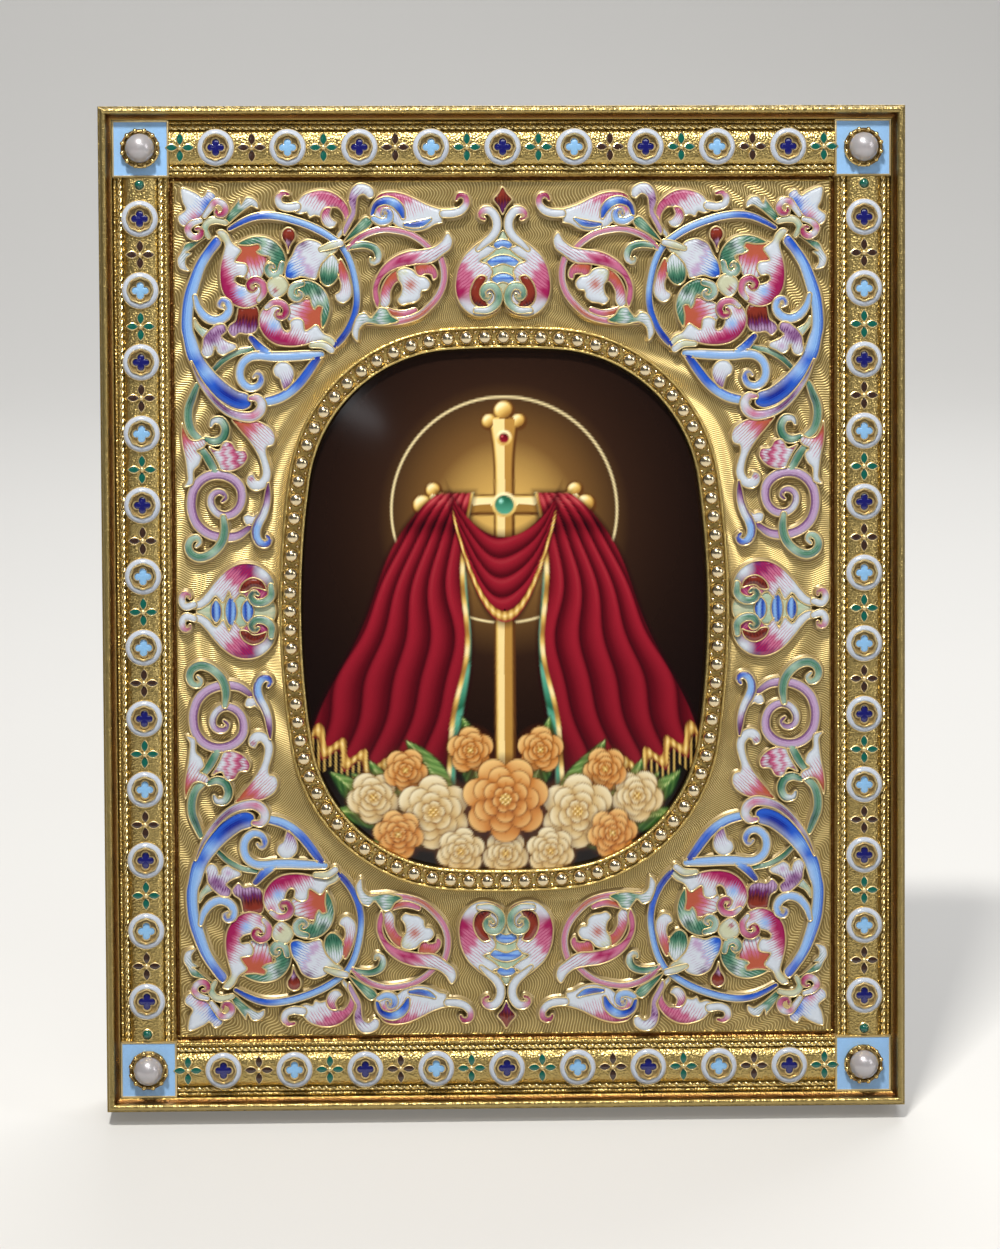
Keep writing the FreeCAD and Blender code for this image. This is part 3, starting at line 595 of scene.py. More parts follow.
def petal(colour):
    """A lens-shaped petal along x, gold at its edge and enamelled inside."""
    rows = []
    for k in range(PETAL_ROWS):
        share = k / (PETAL_ROWS - 1)
        x = PETAL_START + PETAL_LENGTH * share
        half = PETAL_HALF * math.sin(math.pi * min(max(share, 0.02), 0.98)) ** 0.85
        inner = max(half - PETAL_EDGE, 0.0)
        edge = ((half, FIELD_TOP - 0.2), (half, PETAL_RISE), (inner, PETAL_RISE + 0.06),
                (inner * 0.9, PETAL_RISE - 0.02))
        left = [(x, -y, z) for y, z in edge]
        rows.append(left + [(x, 0, PETAL_RISE + 0.08)] + [(x, y, z) for y, z in edge[::-1]])
    shape = strip(rows, colour=colour)
    gilts = np.tile(np.array([1, 1, 1, 0, 0, 0, 1, 1, 1], float), (PETAL_ROWS, 1))
    gilts[[0, -1]] = 1.0
    shape.gilt = gilts.ravel()
    return shape


def flower(colour):
    """Four petals round a raised gold eye."""
    petals = [petal(colour).turned(math.pi / 2 * k) for k in range(4)]
    eye = ball(0.60, 14, 5, low=0.0, gilt=1.0).moved(z=FIELD_TOP + 0.36)
    seat = ((0.62, FIELD_TOP), (0.58, FIELD_TOP + 0.34), (0.4, FIELD_TOP + 0.42))
    return petals + [eye, lathe(seat, 14, gilts=[1, 1, 1])]


BLOCK_BLUE = (0.27, 0.48, 0.78)
COBALT = (0.006, 0.007, 0.12)
SKY = (0.22, 0.44, 0.72)
LEAF_GREEN = (0.003, 0.095, 0.068)
BRONZE = (0.036, 0.016, 0.010)

# Enamel colours along each side, from its left or lower end: D cobalt, L sky, G green, B bronze
ROUNDEL_ORDER = {"across": "DLDLDLDLD", "up": "DLDLDLLDLDLD"}
FLOWER_ORDER = {"across": "GBGBGGBGBG", "up": "BGBGBGBGBGB"}
ENAMELS = {"D": COBALT, "L": SKY, "G": LEAF_GREEN, "B": BRONZE}

# Distance between roundels, and between flowers, along a rail
JEWEL_PITCH = {"across": 14.2, "up": 14.17}


def spaced(order, pitch):
    """Places along a rail, even about its middle, with their enamel colours."""
    first = -(len(order) - 1) / 2
    return [((k + first) * pitch, ENAMELS[letter]) for k, letter in enumerate(order)]


def border_jewels(material):
    """The rows of roundels and of flowers along the rails."""
    for name, _, _, place in side_places():
        level = name in ("bottom", "top")
        way = "across" if level else "up"
        pitch = JEWEL_PITCH[way]
        x0, y0 = place

        def at(shape, reach):
            return shape.moved(reach, y0) if level else shape.moved(x0, MIDDLE + reach)

        jewels = [at(s, x) for x, colour in spaced(ROUNDEL_ORDER[way], pitch) for s in roundel(colour)]
        piece("roundel_row_" + name, jewels, material, ["roundels_" + name])
        blooms = [at(s, x) for x, colour in spaced(FLOWER_ORDER[way], pitch) for s in flower(colour)]
        piece("flower_row_" + name, blooms, material, ["flowers_" + name])


# Distance of the studs from the frame's lower and upper edges; radii and levels of a collar
STUD_PLACE = 15.4
STUD_COLLAR = ((1.2, -0.1), (1.16, 0.34), (1.0, 0.45), (0.9, 0.3))


def studs(material):
    """Small green beads in gold collars at the ends of the upright rails."""
    profile = [(radius, FIELD_TOP + rise) for radius, rise in STUD_COLLAR]
    collar = lathe(profile, 24, gilts=[1, 1, 1, 1])
    bead = ball(0.95, 20, 6, low=0.0, colour=LEAF_GREEN).moved(z=FIELD_TOP + 0.2)
    shapes = []
    for x in (RAIL_LINE - WIDTH / 2, WIDTH / 2 - RAIL_LINE):
        for y in (STUD_PLACE, HEIGHT - STUD_PLACE):
            shapes += [collar.moved(x, y), bead.moved(x, y)]
    piece("stud_set", shapes, material, ["end_studs"])


# Corners


def corner_places():
    """Name and middle of each corner block."""
    x = WIDTH / 2 - BLOCK_LINE
    return (("lower_left", -x, BLOCK_LINE), ("lower_right", x, BLOCK_LINE),
            ("upper_left", -x, HEIGHT - BLOCK_LINE), ("upper_right", x, HEIGHT - BLOCK_LINE))


# Crowns: radii and levels of the ring over the enamel, and the count of claws
CROWN_RING = ((3.85, 0), (3.85, 0.5), (3.62, 0.72), (3.4, 0.6), (3.2, 0.1), (2.4, 0.06))
CLAWS = 12


def crown():
    """A gold ring with rounded claws that lean over the pearl."""
    ring = lathe([(radius, ENAMEL_TOP + rise) for radius, rise in CROWN_RING], 48, gilts=[1] * 6)
    claw = ball(0.52, 12, 6, gilt=1.0)
    root = ball(0.42, 10, 5, gilt=1.0)
    claws = []
    for k in range(CLAWS):
        turn = 2 * math.pi * (k + 0.5) / CLAWS
        claws.append(claw.moved(3.52, 0, ENAMEL_TOP + 1.15).turned(turn))
        claws.append(root.moved(3.6, 0, ENAMEL_TOP + 0.55).turned(turn))
    return [ring] + claws


# Half widths and levels of a corner block: its gold sides and rim, then its enamel
BLOCK_STEPS = ((5.62, CORE_TOP), (5.62, 15.74), (5.56, 15.86), (5.44, ENAMEL_TOP), (5.26, ENAMEL_TOP),
               (5.2, 15.8), (0.01, 15.8))


def blocks(material):
    """The corner blocks, stepped squares with enamel inside a gold rim."""
    steps = [(half * math.sqrt(2), z) for half, z in BLOCK_STEPS]
    block = lathe(steps, 4, [BLOCK_BLUE] * len(steps), [1, 1, 1, 1, 1, 0, 0]).turned(math.pi / 4)
    names = ["corner_block_" + name for name, _, _ in corner_places()]
    shapes = [block.moved(x, y) for _, x, y in corner_places()]
    piece("block_set", shapes, material, names + ["corner_enamels"])


# Radius of a pearl, and the level of its middle
PEARL = 2.85
PEARL_LEVEL = 17.2


def corners(gold, pearl_finish):
    """A crown with its pearl on each corner block."""
    for name, x, y in corner_places():
        shapes = [s.moved(x, y) for s in crown()]
        piece("crown_" + name, shapes, gold, ["pearl_collet_" + name])
        drop = ball(PEARL, 48, 24, low=-0.4).moved(x, y, PEARL_LEVEL)
        piece("drop_" + name, [drop], pearl_finish, ["pearl_" + name])


# Oval


# Radii of the opening's arcs, its half width and half height, and the places along half a side
# or end and along a corner
SIDE_RADIUS = 180.0
END_RADIUS = 175.0
CORNER_RADIUS = 30.0
OPENING = (40.6, 52.2)
ARC_STEPS = 13
CORNER_STEPS = 30


def oval(offset):
    """The opening's outline of eight tangent arcs, moved out by offset, as (x, y) places."""
    side = np.array([OPENING[0] - SIDE_RADIUS, 0.0])
    end = np.array([0.0, OPENING[1] - END_RADIUS])
    gap = end - side
    span = math.hypot(*gap)
    reach = SIDE_RADIUS - CORNER_RADIUS
    along = (reach ** 2 - (END_RADIUS - CORNER_RADIUS) ** 2 + span ** 2) / (2 * span)
    off = math.sqrt(reach ** 2 - along ** 2)
    unit = gap / span
    corner = side + unit * along + np.array([-unit[1], unit[0]]) * off
    low = math.atan2(*(corner - side)[::-1])
    high = math.atan2(*(corner - end)[::-1])
    places = []
    for centre, radius, first, last, count in (
        (side, SIDE_RADIUS, 0.0, low, ARC_STEPS),
        (corner, CORNER_RADIUS, low, high, CORNER_STEPS),
        (end, END_RADIUS, high, math.pi / 2, ARC_STEPS),
    ):
        turns = first + (last - first) * np.arange(count) / count
        places.append(centre + (radius + offset) * np.stack([np.cos(turns), np.sin(turns)], 1))
    quarter = np.concatenate(places)
    top = np.array([[0.0, OPENING[1] + offset]])
    half = np.concatenate([quarter, top, (quarter * (-1, 1))[:0:-1]])
    whole = np.concatenate([half, -half])
    return whole + (0, MIDDLE)


def evenly(places, count):
    """Count places spread evenly round a closed line."""
    closed = np.concatenate([places, places[:1]])
    reach = np.concatenate([[0], np.cumsum(np.linalg.norm(np.diff(closed, axis=0), axis=1))])
    at = np.arange(count) / count * reach[-1]
    return np.stack([np.interp(at, reach, closed[:, 0]), np.interp(at, reach, closed[:, 1])], 1)


# Bezel: its section as (distance out from the opening, level), the count and the line of its
# beads, and how far the grains between them are from that line
BEZEL = ((4.4, 13.0), (4.4, 15.0), (4.25, 15.22), (4.05, 15.28), (3.85, 15.2), (3.72, 14.9), (3.7, 14.35),
         (3.2, 14.3), (1.2, 14.3), (0.72, 14.35), (0.68, 15.0), (0.5, 15.26), (0.3, 15.3), (0.08, 15.2),
         (0.0, 15.0), (0.0, 13.2))
BEADS = 88
BEAD_LINE = 2.2
GRAIN_OFF = 1.1


def bezel(gold, bead_gold):
    """The channel round the opening, and its beads with two grains between each pair."""
    rows = [[(x, y, z) for x, y in oval(offset)] for offset, z in BEZEL]
    piece("bezel_channel", [strip(rows, closed_across=True)], gold, ["bezel"])
    line = evenly(oval(BEAD_LINE), BEADS * 2)
    bead = ball(1.46, 20, 10, low=-0.5, gilt=1.0).moved(z=15.05)
    grain = ball(0.42, 8, 4, low=-0.5, gilt=1.0).moved(z=14.45)
    shapes = []
    for k, (x, y) in enumerate(line):
        if k % 2:
            across = (line[(k + 1) % len(line)] - line[k - 1])[::-1] * (1, -1)
            across = across / np.linalg.norm(across)
            shapes += [grain.moved(*(np.array([x, y]) + across * d)) for d in (-GRAIN_OFF, GRAIN_OFF)]
        else:
            shapes.append(bead.moved(x, y))
    piece("bezel_pearling", shapes, bead_gold, ["bezel_beads"], math.radians(60))


# Enamelled cells


# Width of a cell's gold wall and its share of a narrow cell's half width, how far it stands
# outside the drawn line, and the spacing of its mesh
WALL = 0.31
WALL_SHARE = 0.26
GROWTH = 0.14
GRID = 0.38
# How far the dark strip of painted shadow round a cell's foot reaches out from the cell on the panel
FOOT = 0.42
# Height of the lowest cells' walls over the panel and of each further level, how far a wall
# is rounded down at its sides, and how far the enamel swells above there
CELL_RISE = 1.15
LEVEL_RISE = 0.25
WALL_ROUND = 0.14
ENAMEL_SWELL = 0.22

# Enamel tints by letter, linear
TINTS = {
    "W": (0.54, 0.59, 0.66), "C": (0.50, 0.52, 0.36), "L": (0.42, 0.28, 0.46),
    "U": (0.11, 0.016, 0.12), "M": (0.29, 0.010, 0.078), "R": (0.48, 0.13, 0.235),
    "O": (0.40, 0.085, 0.045), "K": (0.06, 0.005, 0.006), "N": (0.20, 0.025, 0.012),
    "P": (0.21, 0.39, 0.72), "B": (0.018, 0.090, 0.50), "D": (0.005, 0.016, 0.24),
    "A": (0.28, 0.42, 0.32), "G": (0.050, 0.17, 0.105), "E": (0.008, 0.055, 0.036),
}


# Distance between the places along a curve, or a little more
CURVE_STEP = 0.34


def curve(points, closed):
    """Places along a smooth curve through the points; further columns go with them."""
    p = np.array(points, float)
    if closed:
        p = np.concatenate([p[-1:], p, p[:2]])
    else:
        p = np.concatenate([2 * p[:1] - p[1:2], p, 2 * p[-1:] - p[-2:-1]])
    spans = np.linalg.norm(np.diff(p[:, :2], axis=0), axis=1)
    knots = np.concatenate([[0], np.cumsum(np.sqrt(np.maximum(spans, 1e-6)))])
    out = []
    for k in range(1, len(p) - 2):
        a, b, c, d = p[k - 1:k + 3]
        ta, tb, tc, td = knots[k - 1:k + 3]
        t = np.linspace(tb, tc, max(int(spans[k] / CURVE_STEP), 1), endpoint=False)[:, None]
        ab = ((tb - t) * a + (t - ta) * b) / (tb - ta)
        bc = ((tc - t) * b + (t - tb) * c) / (tc - tb)
        cd = ((td - t) * c + (t - tc) * d) / (td - tc)
        abc = ((tc - t) * ab + (t - ta) * bc) / (tc - ta)
        bcd = ((td - t) * bc + (t - tb) * cd) / (td - tb)
        out.append(((tc - t) * abc + (t - tb) * bcd) / (tc - tb))
    if not closed:
        out.append(p[-2:-1])
    return np.concatenate(out)


def stroke_outline(line):
    """The outline of a tapered stroke along (x, y, width) places, with rounded ends."""
    way = np.gradient(line[:, :2], axis=0)
    way /= np.linalg.norm(way, axis=1)[:, None]
    side = way[:, ::-1] * (-1, 1) * line[:, 2:] / 2
    caps = []
    for end, sign in ((0, -1), (-1, 1)):
        turns = np.linspace(-math.pi / 2, math.pi / 2, 7)[1:-1, None]
        middle, reach = line[end, :2], line[end, 2] / 2
        caps.append(middle + sign * reach * way[end] * np.cos(turns) - sign * side[end] * np.sin(turns))
    return np.concatenate([line[:, :2] + side, caps[1], (line[:, :2] - side)[::-1], caps[0]])


def edge_distance(points, edge):
    """How far each place is from a closed outline."""
    a = edge
    b = np.roll(edge, -1, 0)
    way = b - a
    rel = points[:, None] - a[None]
    share = np.clip((rel * way).sum(2) / np.maximum((way ** 2).sum(1), 1e-12), 0, 1)
    return np.sqrt(((rel - share[..., None] * way) ** 2).sum(2).min(1))


def inside(points, edge):
    """Whether each place is inside a closed outline."""
    x, y = points[:, :1], points[:, 1:]
    x0, y0 = edge.T
    x1, y1 = np.roll(edge, -1, 0).T
    rise = np.where(y1 == y0, 1e-9, y1 - y0)
    crossed = ((y0 > y) != (y1 > y)) & (x < (x1 - x0) * (y - y0) / rise + x0)
    return crossed.sum(1) % 2 == 1


def area(edge):
    """Twice the signed area of an outline."""
    return (edge[:, 0] * np.roll(edge[:, 1], -1) - np.roll(edge[:, 0], -1) * edge[:, 1]).sum()


def shifted(edge, distance):
    """The outline moved inwards by a distance, or outwards by a negative one."""
    way = np.roll(edge, -1, 0) - np.roll(edge, 1, 0)
    normal = way[:, ::-1] * (-1, 1) / np.linalg.norm(way, axis=1)[:, None]
    return edge + normal * distance * math.copysign(1, area(edge))


def inset(edge, distance):
    """Places that lie distance inside the outline, without those that fall nearer to it."""
    moved = shifted(edge, distance)
    return moved[inside(moved, edge) & (edge_distance(moved, edge) > distance * 0.93)]


# Brush lines: the pitch from which a cell has none, the hatch value that stands for none, how
# much nearer to the paint's end the ground between lines is, how much nearer to its start a
# line is, and the pitch of the lines as a share of the streak pitch
PLAIN = 9.0
NO_LINE = -0.25
LINE_LIFT = 0.10
LINE_REACH = 0.26
LINE_PITCH = 0.62


def ramp(letters, share):
    """Colours at a share of the way along a row of tints."""
    tints = np.array([TINTS[letter] for letter in letters])
    at = np.linspace(0, 1, len(tints))
    return np.stack([np.interp(share, at, tints[:, k]) for k in range(3)], 1)


def spotted(tint, points, spots, reach):
    """Tints with round spots of (x, y, radius, letter) over them."""
    for x, y, radius, letter in spots:
        far = np.linalg.norm(points - (x, y), axis=1) / radius
        share = np.clip(1.35 - far + (0.0 if letter in "WC" else reach), 0, 1)[:, None]
        tint = tint * (1 - share) + np.array(TINTS[letter]) * share
    return tint


def wash(start, end, letters, pitch, spots=()):
    """Paint running through its tints from start to end, drawn out in brush lines. It gives
    the tint between lines, the tint on them, and the place across them."""
    start, end = np.array(start, float), np.array(end, float)
    length = np.linalg.norm(end - start)
    way = (end - start) / length

    def paint(points):
        rel = points - start
        off = rel @ np.array([-way[1], way[0]])
        along = rel @ way / length
        sway = 0.06 * np.sin(off * 3.1 / pitch + start[0])
        light = ramp(letters, np.clip(along + LINE_LIFT + sway, 0, 1))
        deep = ramp(letters, np.clip(along - LINE_REACH + sway, 0, 1))
        hatch = off / (pitch * LINE_PITCH) if pitch < PLAIN else NO_LINE
        return spotted(light, points, spots, -0.40), spotted(deep, points, spots, 0.20), hatch
    return paint


# Pitch of the brush lines along a stroke
STROKE_LINES = 0.42


def stroke_paint(line, letters, edge):
    """Paint that runs through its tints along a stroke, with another tint down one side."""
    way = np.gradient(line[:, :2], axis=0)
    way /= np.linalg.norm(way, axis=1)[:, None]
    reach = np.concatenate([[0], np.cumsum(np.linalg.norm(np.diff(line[:, :2], axis=0), axis=1))])

    def paint(points):
        rel = points[:, None] - line[None, :, :2]
        near = (rel ** 2).sum(2).argmin(1)
        rel = rel[np.arange(len(points)), near]
        across = (rel * (way[near][:, ::-1] * (-1, 1))).sum(1)
        off = across / (line[near, 2] / 2)
        tint = ramp(letters, reach[near] / reach[-1])
        light = np.clip(-1.2 * off - 0.1, 0, 1)[:, None] * 0.34
        tint = tint * (1 - light) + np.array(TINTS["W"]) * light
        deep = tint
        if edge:
            share = np.clip(3.2 * off - 1.1, 0, 1)[:, None] * 0.85
            tint = tint * (1 - share) + np.array(TINTS[edge]) * share
            share = np.clip(2.4 * off + 0.1, 0, 1)[:, None] * 0.9
            deep = deep * (1 - share) + np.array(TINTS[edge]) * share
        return tint, deep, across / STROKE_LINES
    return paint


def cell(edge, paint, level):
    """An enamelled field in a rounded gold wall that stands on the panel, its sides and foot painted dark
    as shadow.
    """
    edge = shifted(edge, -GROWTH)
    top = PANEL_TOP + CELL_RISE + LEVEL_RISE * level
    low, high = edge.min(0), edge.max(0)
    xs, ys = np.meshgrid(np.arange(low[0], high[0], GRID), np.arange(low[1], high[1], GRID * 0.87))
    xs = xs + (np.arange(len(xs)) % 2)[:, None] * GRID / 2
    field = np.stack([xs.ravel(), ys.ravel()], 1)
    field = field[inside(field, edge)]
    reach = edge_distance(field, edge)
    width = min(WALL, WALL_SHARE * reach.max())
    field = field[reach > width * 1.15 + GRID * 0.45]
    rings = [inset(edge, width * share) for share in (0.25, 0.6, 0.94, 1.15)]
    flat = [Vector(place) for place in np.concatenate([edge] + rings + [field])]
    made = delaunay_2d_cdt(flat, [], [list(range(len(edge)))], 1, 1e-6)
    places = np.array([tuple(place) for place in made[0]])
    depth = edge_distance(places, edge)
    rise = np.clip((depth - width) / 0.8, 0, 1)
    enamel = top - WALL_ROUND + ENAMEL_SWELL * (1 - (1 - rise) ** 2)
    wall = top - WALL_ROUND * (2 * depth / width - 1) ** 2
    z = np.where(depth > width, enamel, wall)
    light, deep, hatch = paint(places)
    shade = (0.62 + 0.38 * np.clip((depth - width) / 0.45, 0, 1))[:, None]
    gold = (depth < width).astype(float)
    surface = Shape(np.column_stack([places, z]), made[2], light * shade, gold, deep * shade, hatch)
    # The wall's sides and a sloped strip round its foot are painted in shaded gold: painted shadow where
    # the cell meets the panel
    foot = shifted(edge, -FOOT)
    levels = ((foot, PANEL_TOP), (edge, PANEL_TOP + 0.3), (edge, top - WALL_ROUND))
    rows = [[(x, y, z) for x, y in line] for line, z in levels]
    if area(edge) > 0:
        rows.reverse()
    return [surface, strip(rows, closed_across=True, colour=SHADED_GOLD, gilt=0.35)]


def leaf(level, outline, start, end, letters, pitch, spots=()):
    """A cell inside a closed outline, its paint running from start to end."""
    return cell(curve(outline, True), wash(start, end, letters, pitch, spots), level)


def stroke(level, line, letters, edge=""):
    """A tapered cell along a line of (x, y, width) places."""
    line = curve(line, False)
    return cell(stroke_outline(line), stroke_paint(line, letters, edge), level)


# The spray's slanting axis: a place's mirror swaps its distances from this sum
SPRAY_SUM = 209.0

# Leaves of one quarter: level, outline, where the paint starts and ends, tints, streak
# pitch and spots. A place is (distance from the middle line, height above the foot).
SPRAY_LEAVES = (
    # Great pink leaf, and the coral field behind it
    (1, ((56.9, 175.5), (55.75, 175.9), (54.5, 174.9), (53.7, 173.3), (52, 171.8), (52.7, 170.6),
         (53.2, 169.6), (51.1, 169.1), (50.7, 167.8), (51.5, 166.5), (53, 166.6), (53.3, 165.8),
         (52.4, 165), (50, 164.6), (47.6, 164.6), (47.4, 163), (48.6, 161.3), (50.5, 160.4),
         (52.5, 160.5), (54.5, 161.7), (55.8, 163.5), (56.3, 165.5), (56.3, 168), (55.8, 170.5),
         (55.3, 173), (56.3, 174.4)), (56.4, 166.8), (52.6, 168.6), "MMRWW", 0.8,
     ((52.2, 163.3, 1.5, "P"), (49.2, 161.9, 1.4, "R"), (55.6, 174.2, 1.6, "C"),
         (54.6, 171.6, 1.1, "W"))),
    (0, ((53.6, 173), (51, 173.3), (48.4, 173.5), (46.9, 171), (47.3, 168), (48.6, 165.9), (51, 166),
         (53.2, 169)), (51, 173), (49.3, 167), "OOORW", 1.2),
    # Green leaf
    (1, ((52.8, 173), (51, 174.1), (48.5, 174.6), (46, 174), (44.2, 172.5), (43.2, 170.5),
         (43.2, 168.5), (44, 166.8), (45.5, 166.1), (47, 166.6), (47.5, 168), (47.1, 169.2),
         (46.4, 169.9), (46.7, 170.5), (48, 170.8), (49, 171.5), (48.3, 172.1), (48.5, 172.9),
         (50.5, 172.7)), (43.4, 170.6), (49.5, 173.2), "EGGAWAG", 0.9, ((45.6, 172.4, 1.3, "E"),
         (45.4, 167, 1.2, "A"))),
)
SPRAY_STROKES = (
    (2, ((48.6, 161.9, 0.9), (47.6, 163.4, 1.3), (47.9, 165.2, 1.4), (49.3, 165.9, 1.4),
         (50.5, 165, 1.3), (50, 163.9, 1.1), (49.2, 164.3, 0.7)), "WRRMMM"),
    (2, ((43.9, 169, 1.1), (44.5, 167.2, 1.3), (46, 166.8, 1.3), (46.9, 168, 1.2), (46.1, 168.9, 1.0),
         (45.5, 168.4, 0.6)), "GAAGE", "W"),
)
# Outline of the broad scroll, and its bend as (x, height, width) places
BROAD_SCROLL = (
    1, ((56.9, 174.6), (59.5, 171.75), (61.25, 169), (62.5, 166), (63.5, 163), (64, 159.75),
        (64.1, 156), (63.75, 154.25), (63.1, 151), (62, 148.5), (60.5, 146), (58.75, 144), (56.5, 142),
        (54, 140.5), (51.75, 140.1), (50.3, 141), (50.75, 143.1), (53, 144), (55.75, 146), (57.75, 148),
        (59.75, 150.75), (61, 154.25), (61.6, 156), (61.5, 160.5), (61, 162.25), (59.9, 166),
        (59, 168.5), (57.5, 171), (55.9, 173.3)), ((56.6, 174.2, 1.0), (59.4, 170.2, 1.8),
        (61.3, 165.6, 2.2), (62.5, 160.6, 2.6), (62.7, 156, 2.6), (61.9, 151.8, 2.8),
        (59.8, 147.8, 3.0), (56.8, 144.6, 2.8), (53.6, 142.4, 2.6), (50.8, 141.6, 2.2)),
    "BBPPPPPPPPBPBDDB", "B")
